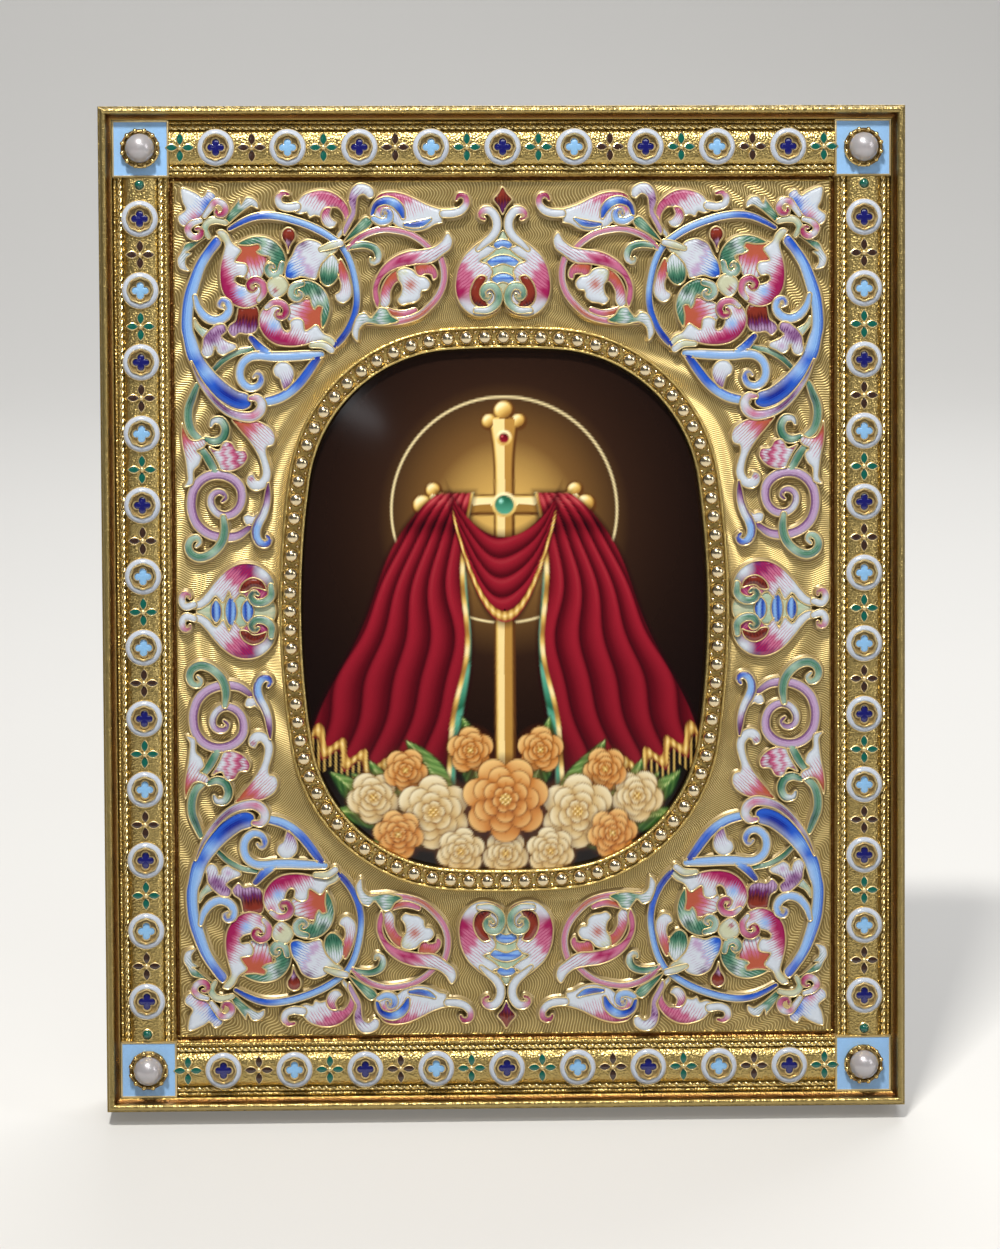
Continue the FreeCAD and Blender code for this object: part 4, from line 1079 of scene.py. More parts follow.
LEAVES = (
    # Teardrop
    (2, ((42.6, 176.3), (43.8, 175.6), (44.0, 174.3), (43.1, 172.8), (42.75, 171.1), (42.1, 172.8),
         (41.2, 174.2), (41.4, 175.6)), (42.6, 176), (42.7, 172), "NNKU", 2.0,
     ((42.7, 173.2, 0.6, "L"),)),
    # Lilac leaf
    (2, ((32.75, 173), (35, 171.75), (36.3, 173.2), (38.5, 173.9), (39.7, 173.6), (41, 172.75),
         (42, 170.75), (43, 169), (43.3, 166.5), (42, 166), (40, 166.5), (38.5, 166.1), (37.2, 166),
         (36.6, 167.6), (35.6, 169.4), (34.4, 170.6), (33, 171.6)), (43.2, 168.0), (37.6, 170.8),
     "BBPWWLWW", 0.8, ((39.8, 173.2, 1.5, "U"), (38.2, 167.6, 1.2, "L"), (34.4, 171.6, 1.4, "C"))),
    # Small green leaf and hook
    (2, ((34, 171), (35.2, 170), (36.2, 168.9), (36.6, 167.2), (36.25, 165.5), (35.2, 164.6),
         (34.1, 164.8), (32.8, 166.3), (32.3, 168.5), (33, 170)), (34.5, 165.2), (34, 170.4), "GEGAWW",
     0.8),
    (2, ((32.3, 170), (31, 167.8), (30.4, 165.8), (30, 164.25), (30.3, 162.4), (31.75, 161.2),
         (33.1, 161.7), (33.5, 162.9), (32.6, 163.6), (32.3, 164.8), (32.9, 167), (33.1, 168.8)),
     (32.4, 169), (31.5, 162.5), "OORWW", 0.6),
    # Heart of the spray
    (2, ((43.4, 166.3), (44.6, 166.9), (46.4, 166.1), (47, 164.9), (46.2, 162.8), (45.1, 162.2),
         (43.2, 163.4), (42.6, 164.8)), (43, 166), (46.5, 163), "CCCW", 1.0,
     ((45.3, 163.8, 0.7, "M"),)),
    # Dark bud
    (0, ((52.6, 160.6), (49, 160.6), (48.6, 157), (49.3, 155.6), (51, 155.1), (52.5, 155.3),
         (53.6, 154.5), (54.9, 155.9), (54.5, 157), (53.4, 157.8), (53, 159.2)), (51, 160),
     (51.5, 155.4), "NNKUL", 1.0),
    # Fleur and the cream leaf behind it
    (2, ((56.8, 157.3), (55.4, 157.1), (55, 155.8), (55.9, 154.7), (54.9, 153.8), (53.2, 153.1),
         (53, 152.4), (54.6, 151.5), (55.8, 150.9), (57, 151.6), (57.3, 152.6), (57.9, 151),
         (59.1, 150.5), (60.1, 151.4), (59.9, 152.9), (59.7, 154.4), (58.7, 155.8), (58, 156.4)),
     (58.4, 155.6), (57, 151.3), "LULWW", 0.8, ((57.9, 153.9, 1.1, "U"), (55.6, 152.4, 0.9, "L"))),
    (1, ((61.4, 158.4), (60.2, 156.8), (58.4, 155.6), (59, 154), (60.6, 155.4), (61.5, 156.8)),
     (61.4, 158), (59, 154.5), "CCAW", 0.8),
    # Petal under the shelf
    (1, ((45.9, 148.2), (44.7, 149.6), (43, 149.5), (41.8, 148.2), (41.7, 146.6), (42.7, 144.6),
         (43.7, 143.9), (44.3, 145.2), (44.7, 146.3), (45.5, 146.8)), (42.8, 144.8), (44.4, 149),
     "ULWWW", 0.7),
    # Coral leaf
    (1, ((54.2, 138.3), (52, 138.1), (49.5, 138), (47.5, 137.25), (46, 136), (45.5, 134.3), (46, 133.1),
         (47.2, 132.6), (47.3, 131.4), (46.9, 130), (46.4, 128), (46.4, 127), (46.9, 125.5),
         (48.1, 124.3), (49.7, 124), (50.9, 124.7), (51.4, 126), (51, 127.1), (50, 127.3),
         (49.5, 126.5), (49, 126.2), (48.3, 127), (48.2, 128), (48.6, 130), (49.5, 132), (51, 134.25),
         (53, 136.6)), (53.6, 138), (46.8, 131.6), "OOORWWW", 0.8, ((50.4, 126.4, 0.7, "M"),
         (47.6, 127, 1.6, "W"))),
    # Red and white leaf
    (2, ((64, 137.5), (64.25, 135.5), (64, 133), (63.5, 130.5), (63.2, 128), (63.1, 126.2),
         (63.8, 124.9), (62, 125.4), (61.7, 128.1), (60.7, 129.2), (60.2, 131), (61.1, 132),
         (59.8, 132.7), (59, 134), (59.8, 134.6), (61, 134.1), (62.3, 134.3), (63.3, 135.8)),
     (64.2, 135.4), (60.6, 129.6), "OORWWW", 0.9),
    # Pink bud
    (2, ((58.8, 132.8), (56.8, 132.2), (55.75, 133.85), (54.2, 133.6), (53.2, 132.2), (51.5, 132),
         (51, 130.75), (51.7, 129.4), (53, 128.4), (54.75, 127.9), (56.4, 128.2), (57, 129.5),
         (57.9, 131.2)), (51.4, 131.0), (57, 130.2), "MRWMRWRW", 0.9, ((57.9, 132.1, 0.8, "M"),
         (54.7, 133.1, 0.7, "M"))),
    # Lobe of the hook
    (1, ((48.8, 117.8), (50.5, 117.1), (51.6, 117.4), (52, 118.9), (51, 119.3), (50, 119), (49, 119.7)),
     (48.8, 118.4), (51.8, 118.2), "LWW", 0.8),
    # Wave leaf
    (1, ((26.3, 178), (26.5, 179.75), (25.8, 181.3), (24.5, 182.8), (22.5, 183.3), (20, 183),
         (17.5, 182), (15, 180.75), (12, 179.8), (10.4, 179.7), (10.6, 178.1), (11.9, 178), (12, 177.2),
         (13.5, 176.75), (15, 175.9), (17, 175.4), (19, 175.6), (21, 176.4), (21.9, 177.1),
         (22.5, 176.7), (24, 176.4), (25.6, 177)), (19.5, 183.2), (17.5, 176.5), "MRRWWWW", 0.8,
     ((22.9, 178.2, 2.0, "P"), (13.2, 179.2, 1.6, "W"))),
    # Pink leaf over the ring, and its inner hook
    (1, ((42, 180.6), (41, 181.3), (39.75, 182.6), (38.25, 183.3), (36, 183.7), (34, 183.3), (32, 182),
         (30.7, 180.3), (30.4, 178.5), (30.9, 176.5), (32, 174.7), (32.8, 174), (33, 174.9),
         (32.5, 175.6), (31.6, 177.3), (31.8, 178.8), (32.8, 180), (34, 180.1), (34.9, 179),
         (36, 178.3), (37.4, 178.6), (38.4, 178.2), (39, 179.2), (40.2, 178.9), (41.8, 179.6)),
     (34.5, 183.8), (37.6, 178.8), "MMRRWWW", 0.9, ((31.2, 178.4, 1.2, "R"),)),
    (2, ((34, 180.1), (34.3, 178.8), (33.7, 177.8), (33, 177.3), (33.4, 176.4), (34.5, 176.1),
         (35.7, 176.9), (36.2, 178.3), (35.8, 179.6), (35, 180.2)), (35.4, 180), (33.6, 176.8), "MRWW",
     0.6),
    # Bud on its stem, and the green spike
    (2, ((30.7, 182), (30, 184), (28.7, 184.95), (27, 184.8), (25.7, 183.8), (25.6, 182.3),
         (26.5, 181.9), (27.7, 182.75), (28.7, 182.2), (29, 180.75), (29.2, 178.75), (30.2, 176.75),
         (31.5, 174.6), (31.9, 175.6), (31, 177.8), (30.2, 179.5), (30.6, 180.75)), (30, 181),
     (26.8, 184.4), "LULWWW", 1.0),
    (1, ((31.8, 173.1), (29.8, 175.9), (27.2, 178.4), (25.9, 177.4), (26.4, 176.4), (28.75, 174.9)),
     (31, 174), (26.4, 177.8), "EGGAG", 0.8),
    # Rose scroll: crimson crescent, coral band, inner leaf, coral leaf and outer tail
    (2, ((11, 175.2), (10, 173.75), (10.4, 172), (12, 170.7), (13.5, 169.5), (15, 169), (17, 168.9),
         (18.8, 168.6), (20.5, 168.25), (22.5, 167.4), (24, 166), (24.75, 164), (24.5, 161.5),
         (25, 160.2), (25.8, 161.7), (26, 164.25), (25.1, 166.8), (23.6, 168.9), (21.25, 170.6),
         (18.75, 171.5), (16.25, 171.8), (13.8, 172.3), (12.3, 173.4)), (24.6, 165.5), (11.4, 174),
     "RMRRMRWWW", 0.9),
    (1, ((24.5, 160.8), (24.3, 164), (22.9, 166.6), (21, 167.9), (19.4, 167.1), (20, 165.7),
         (21.3, 165.2), (22.3, 163.4), (22.4, 161.4), (23.4, 160.2)), (23.6, 166), (21.4, 163), "OORW",
     0.8),
    (2, ((21, 167.6), (19.6, 168.2), (18, 167.8), (16.9, 166.7), (15.3, 166.3), (14.4, 165),
         (15, 163.8), (16.2, 163.5), (16.4, 162.3), (17.6, 161.3), (19, 161.1), (20.2, 160.8),
         (21.1, 161.8), (20.4, 163), (20.2, 164.6), (20.9, 165.9)), (20.8, 167), (15.6, 163), "WCWWWWW",
     0.9, ((18.4, 164.8, 1.4, "O"),)),
    (1, ((17.6, 168.9), (15, 169.4), (13.3, 168), (13, 166.4), (13.9, 165.7), (14.4, 166.8),
         (15.4, 166.9), (16.6, 166.4), (17.4, 167.3)), (15.4, 169.2), (14.6, 166.2), "OORR", 0.7),
    (2, ((24.7, 160.3), (23.2, 160.1), (22.3, 158.8), (20.8, 157.7), (24, 156.8), (27.3, 157.2),
         (28.5, 156.2), (29, 153.6), (30.1, 155), (29.8, 157), (28.8, 158.9), (27.4, 159.3),
         (26.4, 158.4), (25.5, 159.3)), (23, 158), (29, 157.6), "GAWGAWW", 0.9),
    # Corner bud
    (2, ((63.8, 184.1), (60.75, 183.1), (59.6, 182.4), (58.6, 183.6), (57.2, 183), (56.9, 182),
         (57.7, 180.75), (58, 179.75), (59.5, 178.7), (60.5, 177.9), (62.25, 177.2), (63.25, 176.5),
         (64.3, 177.2), (64.5, 178.5), (63, 179.9), (63.6, 181.3)), (58.6, 178.6), (62.8, 182.4),
     "RRPWWWW", 0.8, ((58.6, 180.9, 1.7, "B"), (61.2, 178.3, 1.3, "R"))),
    # Lower corner spray
    (1, ((58.5, 174.6), (59.6, 173.9), (60.8, 173), (62, 172), (62.8, 171.4), (61.8, 171.2),
         (62.9, 170.2), (63, 168.8), (62.2, 167.7), (64.2, 168.2), (64.7, 170), (64, 171.3),
         (63.1, 173), (61, 173.8), (59.4, 175.2)), (59, 174.4), (63.4, 169), "EGAGWW", 0.7),
    # Upper corner spray
    (1, ((55.3, 177.3), (54.8, 178.7), (53.9, 179.9), (52.9, 181.2), (52.3, 182.1), (52, 180.9),
         (51, 182.2), (49.6, 182.1), (48.6, 181.1), (48.6, 180), (49.9, 180.5), (51, 179.9),
         (52, 179.2), (53.25, 178.1), (54.8, 176.9)), (55, 177.6), (49.6, 181.2), "EGAGWW", 0.7),
)

# Strokes of one quarter: level, (x, height, width) places, tints along it, tint down a side
STROKES = (
    # Blue ring in three lengths
    (1, ((54.3, 176, 0.9), (52, 177.3, 1.2), (49.5, 178.3, 1.4), (47, 178.6, 1.5), (44, 178.3, 1.5),
         (41, 177.5, 1.5), (38.5, 176.6, 1.5), (36, 175.4, 1.5), (33.7, 173.9, 1.4), (32.2, 172.7, 1.4),
         (30.5, 169.7, 1.4), (29.4, 165.5, 1.4), (29.1, 162, 1.4), (29.6, 159, 1.4), (30.9, 156, 1.4),
         (32.5, 153.8, 1.4), (34.2, 152.2, 1.2)), "DBBPPPPPPPPBBDD", "B"),
    (1, ((36.9, 150.4, 1.6), (38.2, 148.6, 1.9), (39.5, 146.8, 2), (41, 145, 2), (42.8, 143.5, 2),
         (44.8, 142.4, 2), (47, 141.8, 1.9), (48.8, 141.6, 1.6)), "DBBPPP", "B"),
    # Volute that branches off the broad scroll
    (2, ((61.2, 162.6, 1.0), (60.5, 160.3, 1.5), (58.9, 158.4, 1.8), (57, 157.9, 1.8),
         (55.3, 158.6, 1.8), (54.5, 160, 1.7), (54.8, 161.4, 1.5), (55.9, 161.8, 1.3),
         (56.4, 160.9, 1.1), (55.8, 160.4, 0.7)), "PPPPPPPBB", "W"),
    # Shelf scroll and its stub
    (1, ((36.3, 151.1, 1.5), (39.5, 150.9, 1.9), (43.25, 150.7, 2), (46, 150.7, 2), (48.5, 150.9, 1.9),
         (50.4, 150.6, 1.8), (51.9, 149.4, 1.8), (52.5, 147.4, 1.8), (52, 145.6, 1.8),
         (50.5, 144.5, 1.7), (48.9, 144.9, 1.5), (48.2, 146.2, 1.4), (48.9, 147.3, 1.2),
         (49.7, 146.7, 0.8)), "PPPPPPPPPPPBB", "W"),
    (1, ((46.8, 151.3, 1.6), (48.4, 152.4, 1.8), (50.2, 154.4, 1.3)), "PBD"),
    # Green bar and outer stem
    (0, ((58, 147.8, 0.9), (55.75, 150, 1.1), (53, 151.5, 1.1), (49.9, 152.2, 0.9)), "EGAG"),
    (1, ((61, 145, 1.2), (62, 142.5, 1.7), (62.7, 140.5, 1.8), (62.75, 138, 1.8), (62, 135.75, 1.7),
         (60.6, 134.4, 1.5)), "GEGGA", "A"),
    # Purple rib
    (2, ((62.1, 149.7, 0.4), (60.6, 146.2, 0.9), (58.8, 143.5, 1.2), (56.6, 141.1, 1.4),
         (54.5, 139.6, 1.6), (52, 138.8, 1.9), (50, 138.8, 2.1), (48.5, 139.9, 2.1), (48.2, 141.4, 1.9),
         (49.1, 142.5, 1.6), (50.4, 142.4, 1.1)), "UULUULRWR", "W"),
    # Curl, stub and spiral
    (2, ((59.4, 134.3, 1.3), (57.6, 133.8, 1.7), (56, 134.5, 1.8), (55.4, 136.4, 1.8), (56.3, 138, 1.7),
         (57.9, 137.9, 1.3), (58.3, 137, 0.8)), "GAGGAWW", "E"),
    (1, ((60.4, 132.6, 1.3), (58.9, 130.4, 1.7), (57.5, 127.8, 1.6)), "AGGA"),
    (1, ((50.4, 117, 1.2), (53, 115.2, 1.8), (55, 114.8, 2), (57.5, 115, 2), (59.75, 116, 2),
         (61.4, 117.75, 2), (62.2, 120, 2), (62.3, 122, 2), (61.8, 124.25, 2), (60.4, 126.1, 2),
         (58.5, 127.1, 2), (56.25, 127.2, 2), (54, 126.3, 2), (52.6, 124.7, 2), (52.3, 122.75, 1.9),
         (52.8, 120.9, 1.8), (54, 119.6, 1.8), (55.75, 119.1, 1.7), (57.4, 119.8, 1.6),
         (58.4, 121.4, 1.6), (58.3, 122.9, 1.5), (57.2, 123.8, 1.4), (56, 123.6, 1.2), (55.5, 122.6, 1),
         (56.2, 121.9, 0.7)), "ULLLLLLLLLLWLU", "U"),
    # Curl over the spiral
    (2, ((56, 118.8, 1.2), (55.75, 116.2, 1.7), (56.25, 114, 1.8), (57.5, 112.3, 1.8),
         (59.25, 111.1, 1.8), (61, 110.8, 1.8), (62.5, 111.6, 1.7), (63, 113, 1.6), (62.4, 114.4, 1.4),
         (61.25, 114.7, 1.3), (60.7, 113.8, 1), (61.4, 113, 0.7)), "AGGGAGGGAAW", "A"),
    # Hook
    (2, ((47, 125.4, 0.6), (47.1, 123.5, 1.3), (47.4, 121.25, 1.6), (48.1, 119.25, 1.8),
         (49, 117.6, 1.9), (49.5, 116, 1.9), (49.3, 114.5, 1.8), (48.5, 113.5, 1.7), (47.4, 113.4, 1.5),
         (46.8, 114.2, 1.2), (47.3, 115, 0.8)), "UULWWPPPBB", "U"),
    # Curl of the wave leaf, and its blue curls
    (2, ((11.8, 178.9, 1.6), (9.8, 179, 1.7), (8.2, 179.6, 1.6), (7.2, 181, 1.4), (7.5, 182.3, 1.3),
         (8.7, 182.5, 1.1), (9.2, 181.7, 0.7)), "WWWWRMM"),
    (2, ((26, 178.8, 0.9), (25.3, 180.6, 1.3), (23.4, 181.5, 1.7), (21.5, 181, 1.9), (20.3, 179.7, 1.7),
         (19.8, 178.2, 0.9)), "BDBPBB"),
    (2, ((25.7, 178, 1.1), (24.2, 177.3, 1.4), (22.6, 177.8, 1.4), (22.5, 179.1, 1.3), (23.5, 179.6, 1),
         (23.9, 178.8, 0.7)), "PPPBD", "W"),
    (2, ((19.4, 176.7, 0.8), (17.8, 176.7, 1.3), (16, 177.0, 1.4), (14.4, 177.8, 0.6)), "BDBP", "P"),
    # Curl of the pink leaf
    (2, ((42.6, 182.8, 0.7), (43.6, 183, 1), (44.6, 182.1, 1.4), (44.3, 180.8, 1.5), (42.8, 180.2, 1.6),
         (40.9, 180.4, 1.7)), "MRWWWW"),
    # Thin stem and green hook
    (1, ((30.9, 172, 1), (28.75, 174, 1.2), (26.25, 175.25, 1.2), (23.75, 175.8, 1.2),
         (21.25, 175.6, 1.2), (18.75, 175, 1.2), (16.5, 173.75, 1.2), (14.6, 172.1, 1.1)), "RMRRRRR",
     "W"),
    (1, ((31, 172.1, 0.9), (28.75, 172.7, 1.3), (27, 172.7, 1.4), (25.4, 172, 1.5), (24.8, 170.8, 1.5),
         (25.1, 169.6, 1.3), (26, 169.3, 1.1), (26.3, 170, 0.7)), "GAGGAWA", "E"),
    # Thin ring and coral arc of the rose scroll
    (1, ((12.7, 171.2, 1.2), (11.8, 168, 1.3), (11.8, 165.5, 1.3), (12.7, 163, 1.3), (14.5, 160.7, 1.3),
         (16.75, 158.8, 1.3), (19.5, 157.8, 1.3), (23.2, 157.4, 1.4), (27, 157.4, 1)), "RRRROORRR",
     "W"),
    (1, ((23, 159.8, 1), (21.4, 159.2, 1.3), (19.6, 159.1, 1.3), (17.6, 159.8, 1)), "OORR"),
    # Corner curls and their stem
    (3, ((59.2, 178.5, 0.9), (58.1, 180, 1.2), (57, 181.3, 1.3), (55.6, 181, 1.3), (55, 179.8, 1.3),
         (55.7, 178.8, 1.2), (56.8, 179, 1), (56.9, 179.8, 0.6)), "WWRWRMM"),
    (3, ((60, 177.6, 0.9), (61.7, 177, 1.2), (62.6, 175.9, 1.3), (62, 174.7, 1.3), (60.8, 174.3, 1.3),
         (59.9, 175, 1.2), (60.1, 176, 1), (60.9, 176, 0.6)), "WWRWRMM"),
    (2, ((58.4, 174.4, 0.9), (59.2, 176, 1.3), (58.4, 177.4, 1.4), (56.8, 177.7, 1.4), (55, 177.2, 1)),
     "CACCC"),
    # Knots where the stems cross
    (3, ((36.2, 171.9, 0.9), (34.2, 172.6, 1.4), (32.2, 173.1, 1.2)), "CCW"),
    (3, ((38.2, 152.9, 1), (35.8, 152.9, 1.4), (34.2, 151.9, 1.3)), "CCW"),
)

# Half of the top palmette: strokes and leaves as above, then whole pieces on its axis
TOP_LEAVES = (
    (1, ((1.0, 174.4), (2.2, 174.9), (4, 173.75), (6, 172.25), (7.75, 170.5), (9, 168), (9.5, 165.5),
         (9.5, 163.5), (8.75, 161.2), (7.2, 159.4), (5.25, 158.5), (3.25, 158.6), (1.3, 159.4),
         (0.5, 160.5), (0.9, 162), (2.2, 164.4), (2.4, 166.2), (2, 167.4), (3, 168.9), (4.5, 169.5),
         (2.8, 170.6), (1.4, 172), (2.6, 172.6), (1.6, 173.3)), (9.8, 165.0), (3.6, 169.8), "MMRRRWWW",
     0.9, ((5.6, 159.2, 3.4, "W"), (9.2, 162.4, 0.9, "M"), (8.4, 160.2, 1.6, "W"),
         (2.6, 162.4, 1.8, "W"))),
    (2, ((3.2, 166.3), (4.5, 166.7), (5.9, 165.4), (6.6, 163.2), (6.1, 161.2), (4.6, 160.2),
         (2.8, 160.1), (3.6, 162), (4.2, 163.7), (3.6, 165.2)), (4, 164), (5.6, 161), "NNNK", 1.0),
)
TOP_STROKES = (
    (2, ((5.0, 171.8, 0.9), (3.6, 173.1, 1.4), (2.1, 174.4, 1.7), (1.2, 176.1, 1.8), (1.4, 178.1, 1.8),
         (2.6, 179.5, 1.8), (3.9, 179.4, 1.6), (4.5, 178.4, 1.2), (3.7, 177.8, 0.8)), "WWWWWWWRM"),
    (3, ((5.4, 159.7, 1.1), (2.9, 159.8, 1.4), (1.1, 161.3, 1.5), (1.0, 163.2, 1.5), (2, 164.5, 1.5),
         (3.5, 164.3, 1.4), (4.1, 163, 1.2), (3.3, 162, 1), (2.6, 162.7, 0.7)), "WWAGAAGE", "A"),
)
TOP_AXIS = (
    (0, ((0, 175.6), (1.4, 174.2), (3.0, 172), (4.4, 169.4), (3.4, 166.4), (2.6, 163.4), (0, 161.8),
         (-2.6, 163.4), (-3.4, 166.4), (-4.4, 169.4), (-3.0, 172), (-1.4, 174.2)), (0, 175), (0, 163),
     "ACACAC", 1.6),
    (1, ((-1.9, 172.7), (-1.2, 173.5), (0, 173.8), (1.2, 173.5), (1.9, 172.7), (1.2, 171.9), (0, 172.3),
         (-1.2, 171.9)), (0, 173.9), (0, 172.0), "BDPPBP", PLAIN),
    (1, ((-3.3, 169.3), (-1.8, 170.4), (0, 170.8), (1.8, 170.4), (3.3, 169.3), (2.4, 168.3), (0, 168.9),
         (-2.4, 168.3)), (0, 170.9), (0, 168.4), "BDPPBPP", PLAIN),
    (1, ((-2.3, 166), (-1.3, 166.9), (0, 167.2), (1.3, 166.9), (2.3, 166), (1.6, 164.9), (0, 165.3),
         (-1.6, 164.9)), (0, 167.3), (0, 165.0), "BDPPBPP", PLAIN),
    (1, ((0, 184.3), (0.9, 183), (1.9, 181.7), (0.9, 180.3), (0, 178.7), (-0.9, 180.3), (-1.9, 181.7),
         (-0.9, 183)), (0, 184), (0, 179.4), "NNKU", 1.0),
)

# The same for the side palmette, its half above the middle
SIDE_LEAVES = (
    (1, ((63.4, 101), (62.3, 101.9), (61, 102.3), (59.5, 103.8), (57.75, 106), (56, 107.8), (54, 109.1),
         (52, 109.6), (49.5, 109.3), (47.4, 108), (46.1, 106.25), (45.6, 104.25), (45.9, 102.5),
         (47.2, 101.2), (49, 101), (51, 102.2), (52.6, 103.4), (53.6, 102.4), (54.3, 101.8),
         (55, 103.8), (56.2, 101.7), (57.7, 103), (59, 101.6), (61, 100.5)), (51.6, 109.4),
     (57.4, 103.0), "UMMRRWWW", 0.8, ((47.8, 107.8, 2.0, "W"), (46.0, 105.4, 1.6, "A"),
         (45.9, 103.2, 1.2, "G"), (60.4, 102.2, 1.6, "W"))),
    (2, ((52.9, 103.9), (52.3, 105.6), (50.3, 106.7), (48.2, 105.9), (47.5, 104.1), (48.7, 104.5),
         (50.2, 104.7), (51.4, 103.9)), (50.3, 106.4), (50, 104.4), "NNKN", 1.0),
)
SIDE_STROKES = (
    (2, ((62, 101.4, 1.3), (63.6, 101, 1.5), (64.4, 102.2, 1.4), (64, 103.4, 1.3), (63, 103.5, 1),
         (62.8, 102.8, 0.7)), "WWWRM"),
    (3, ((46.6, 105, 1.2), (46.6, 103, 1.5), (48, 101.8, 1.6), (49.8, 101.8, 1.5), (50.6, 103, 1.3),
         (49.9, 103.8, 1), (49.2, 103.4, 0.7)), "AGAGGEE", "A"),
)
SIDE_AXIS = (
    (0, ((61.6, 100), (58.8, 102), (55, 103.4), (51, 103), (46.6, 102.4), (45.6, 100), (46.6, 97.6),
         (51, 97), (55, 96.6), (58.8, 98)), (61, 100), (46, 100), "CACAC", 2.0),
    (1, ((58.7, 100), (58.4, 101.5), (57.6, 102.4), (56.8, 101.5), (56.5, 100), (56.8, 98.5),
         (57.6, 97.6), (58.4, 98.5)), (58.8, 100), (56.6, 100), "PPBDPPB", PLAIN),
    (1, ((55.9, 100), (55.5, 102), (54.5, 103.2), (53.7, 101.8), (53.4, 100), (53.7, 98.2),
         (54.5, 96.8), (55.5, 98)), (55.9, 100), (53.5, 100), "BPPBDPPB", PLAIN),
    (1, ((52.6, 100), (52.2, 101.6), (51.2, 102.4), (50.4, 101.5), (50.0, 100), (50.4, 98.5),
         (51.2, 97.6), (52.2, 98.4)), (52.6, 100), (50.2, 100), "BPPBDPPB", PLAIN),
)

def spray_mirrored(places):
    """The places mirrored over the spray's slanting axis."""
    return tuple((SPRAY_SUM - up, SPRAY_SUM - x, *rest) for x, up, *rest in places)


def made_cells(leaves, strokes):
    """The cells of a table of leaves and a table of strokes."""
    shapes = []
    for entry in leaves:
        shapes += leaf(*entry)
    for entry in strokes:
        shapes += stroke(*entry)
    return shapes


def broad_scroll():
    """The crescent on the outer side, painted along its bend."""
    level, outline, bend, letters, edge = BROAD_SCROLL
    return cell(curve(outline, True), stroke_paint(curve(bend, False), letters, edge), level)


def quarter():
    """The upper right casting."""
    leaves = list(LEAVES + SPRAY_LEAVES)
    strokes = list(STROKES + SPRAY_STROKES)
    for level, outline, start, end, letters, pitch, *spots in SPRAY_LEAVES:
        spots = spray_mirrored(spots[0]) if spots else ()
        start, end = spray_mirrored([start, end])
        leaves.append((level, spray_mirrored(outline)[::-1], start, end, letters, pitch, spots))
    for level, line, *rest in SPRAY_STROKES:
        strokes.append((level, spray_mirrored(line), *rest))
    return joined(made_cells(leaves, strokes) + broad_scroll())


def castings(material):
    """The four mirrored castings and the four palmettes."""
    corner = quarter()
    for up in ("upper", "lower"):
        for across in ("left", "right"):
            name = up + "_" + across
            shape = corner.mirrored(across == "left", up == "lower")
            piece("scrollwork_" + name, [shape], material, ["scroll_" + name])
    half = joined(made_cells(TOP_LEAVES, TOP_STROKES))
    top = joined([half, half.mirrored(True, False)] + made_cells(TOP_AXIS, ()))
    half = joined(made_cells(SIDE_LEAVES, SIDE_STROKES))
    right = joined([half, half.mirrored(False, True)] + made_cells(SIDE_AXIS, ()))
    bottom = top.mirrored(False, True)
    left = right.mirrored(True, False)
    for name, shape in (("top", top), ("bottom", bottom), ("right", right), ("left", left)):
        piece("fan_" + name, [shape], material, ["palmette_" + name])


# Painted plaque


# Height of the crossing, radius of the ring, lengths of the upper, side and lower arms, length
# of the hanging cloth, and folds across it, in bench millimetres
CROSSING = 121.0
HALO = 22.5
CROSS_UP = 17.5
CROSS_ACROSS = 15.0
CROSS_DOWN = 66.0
CLOTH_RUN = 62.0
CLOTH_FOLDS = 5.2

# Shades of each paint from dark to light, linear
UMBER = ((0.004, 0.0018, 0.0018), (0.026, 0.011, 0.006), (0.16, 0.078, 0.022), (0.62, 0.38, 0.10))
LEAF_GOLD = ((0.10, 0.035, 0.008), (0.42, 0.22, 0.045), (0.74, 0.50, 0.14), (0.98, 0.86, 0.52))
CRIMSON = ((0.016, 0.001, 0.003), (0.10, 0.003, 0.008), (0.27, 0.010, 0.022), (0.52, 0.080, 0.085))
TEAL = ((0.005, 0.035, 0.020), (0.02, 0.13, 0.07), (0.08, 0.33, 0.22), (0.34, 0.66, 0.56))
LEAVES_PAINT = ((0.006, 0.025, 0.008), (0.03, 0.10, 0.02), (0.13, 0.26, 0.06), (0.42, 0.52, 0.20))
IVORY = ((0.10, 0.035, 0.008), (0.36, 0.18, 0.050), (0.58, 0.41, 0.18), (0.78, 0.69, 0.46))
AMBER = ((0.060, 0.012, 0.003), (0.27, 0.070, 0.011), (0.52, 0.20, 0.040), (0.76, 0.48, 0.18))


def shades(value, paint):
    """Paint at a value from 0, dark, to 1, light."""
    at = np.linspace(0, 1, len(paint))
    return np.stack([np.interp(value, at, [tint[k] for tint in paint]) for k in range(3)], 1)


class Painting:
    """Colours of a set of places, laid on in layers."""

    def __init__(self, x, y):
        self.x = x
        self.y = y
        self.tint = np.zeros((len(x), 3))

    def lay(self, depth, value, paint, blur=0.35, strength=1.0):
        """Cover the places where depth, the way in from the layer's edge, is above zero."""
        cover = (np.clip(0.5 + depth / blur, 0, 1) * strength)[:, None]
        self.tint = self.tint * (1 - cover) + shades(np.clip(value, 0, 1), paint) * cover

    def from_place(self, x, y, turn=0.0):
        """Distances along and across a direction through a place."""
        dx, dy = self.x - x, self.y - y
        c, s = math.cos(turn), math.sin(turn)
        return dx * c + dy * s, dy * c - dx * s


def folded(wave):
    """Light on cloth that rises slowly over each fold and drops at its edge."""
    share = wave % 1.0
    return share ** 0.75 * (1 - share ** 9)


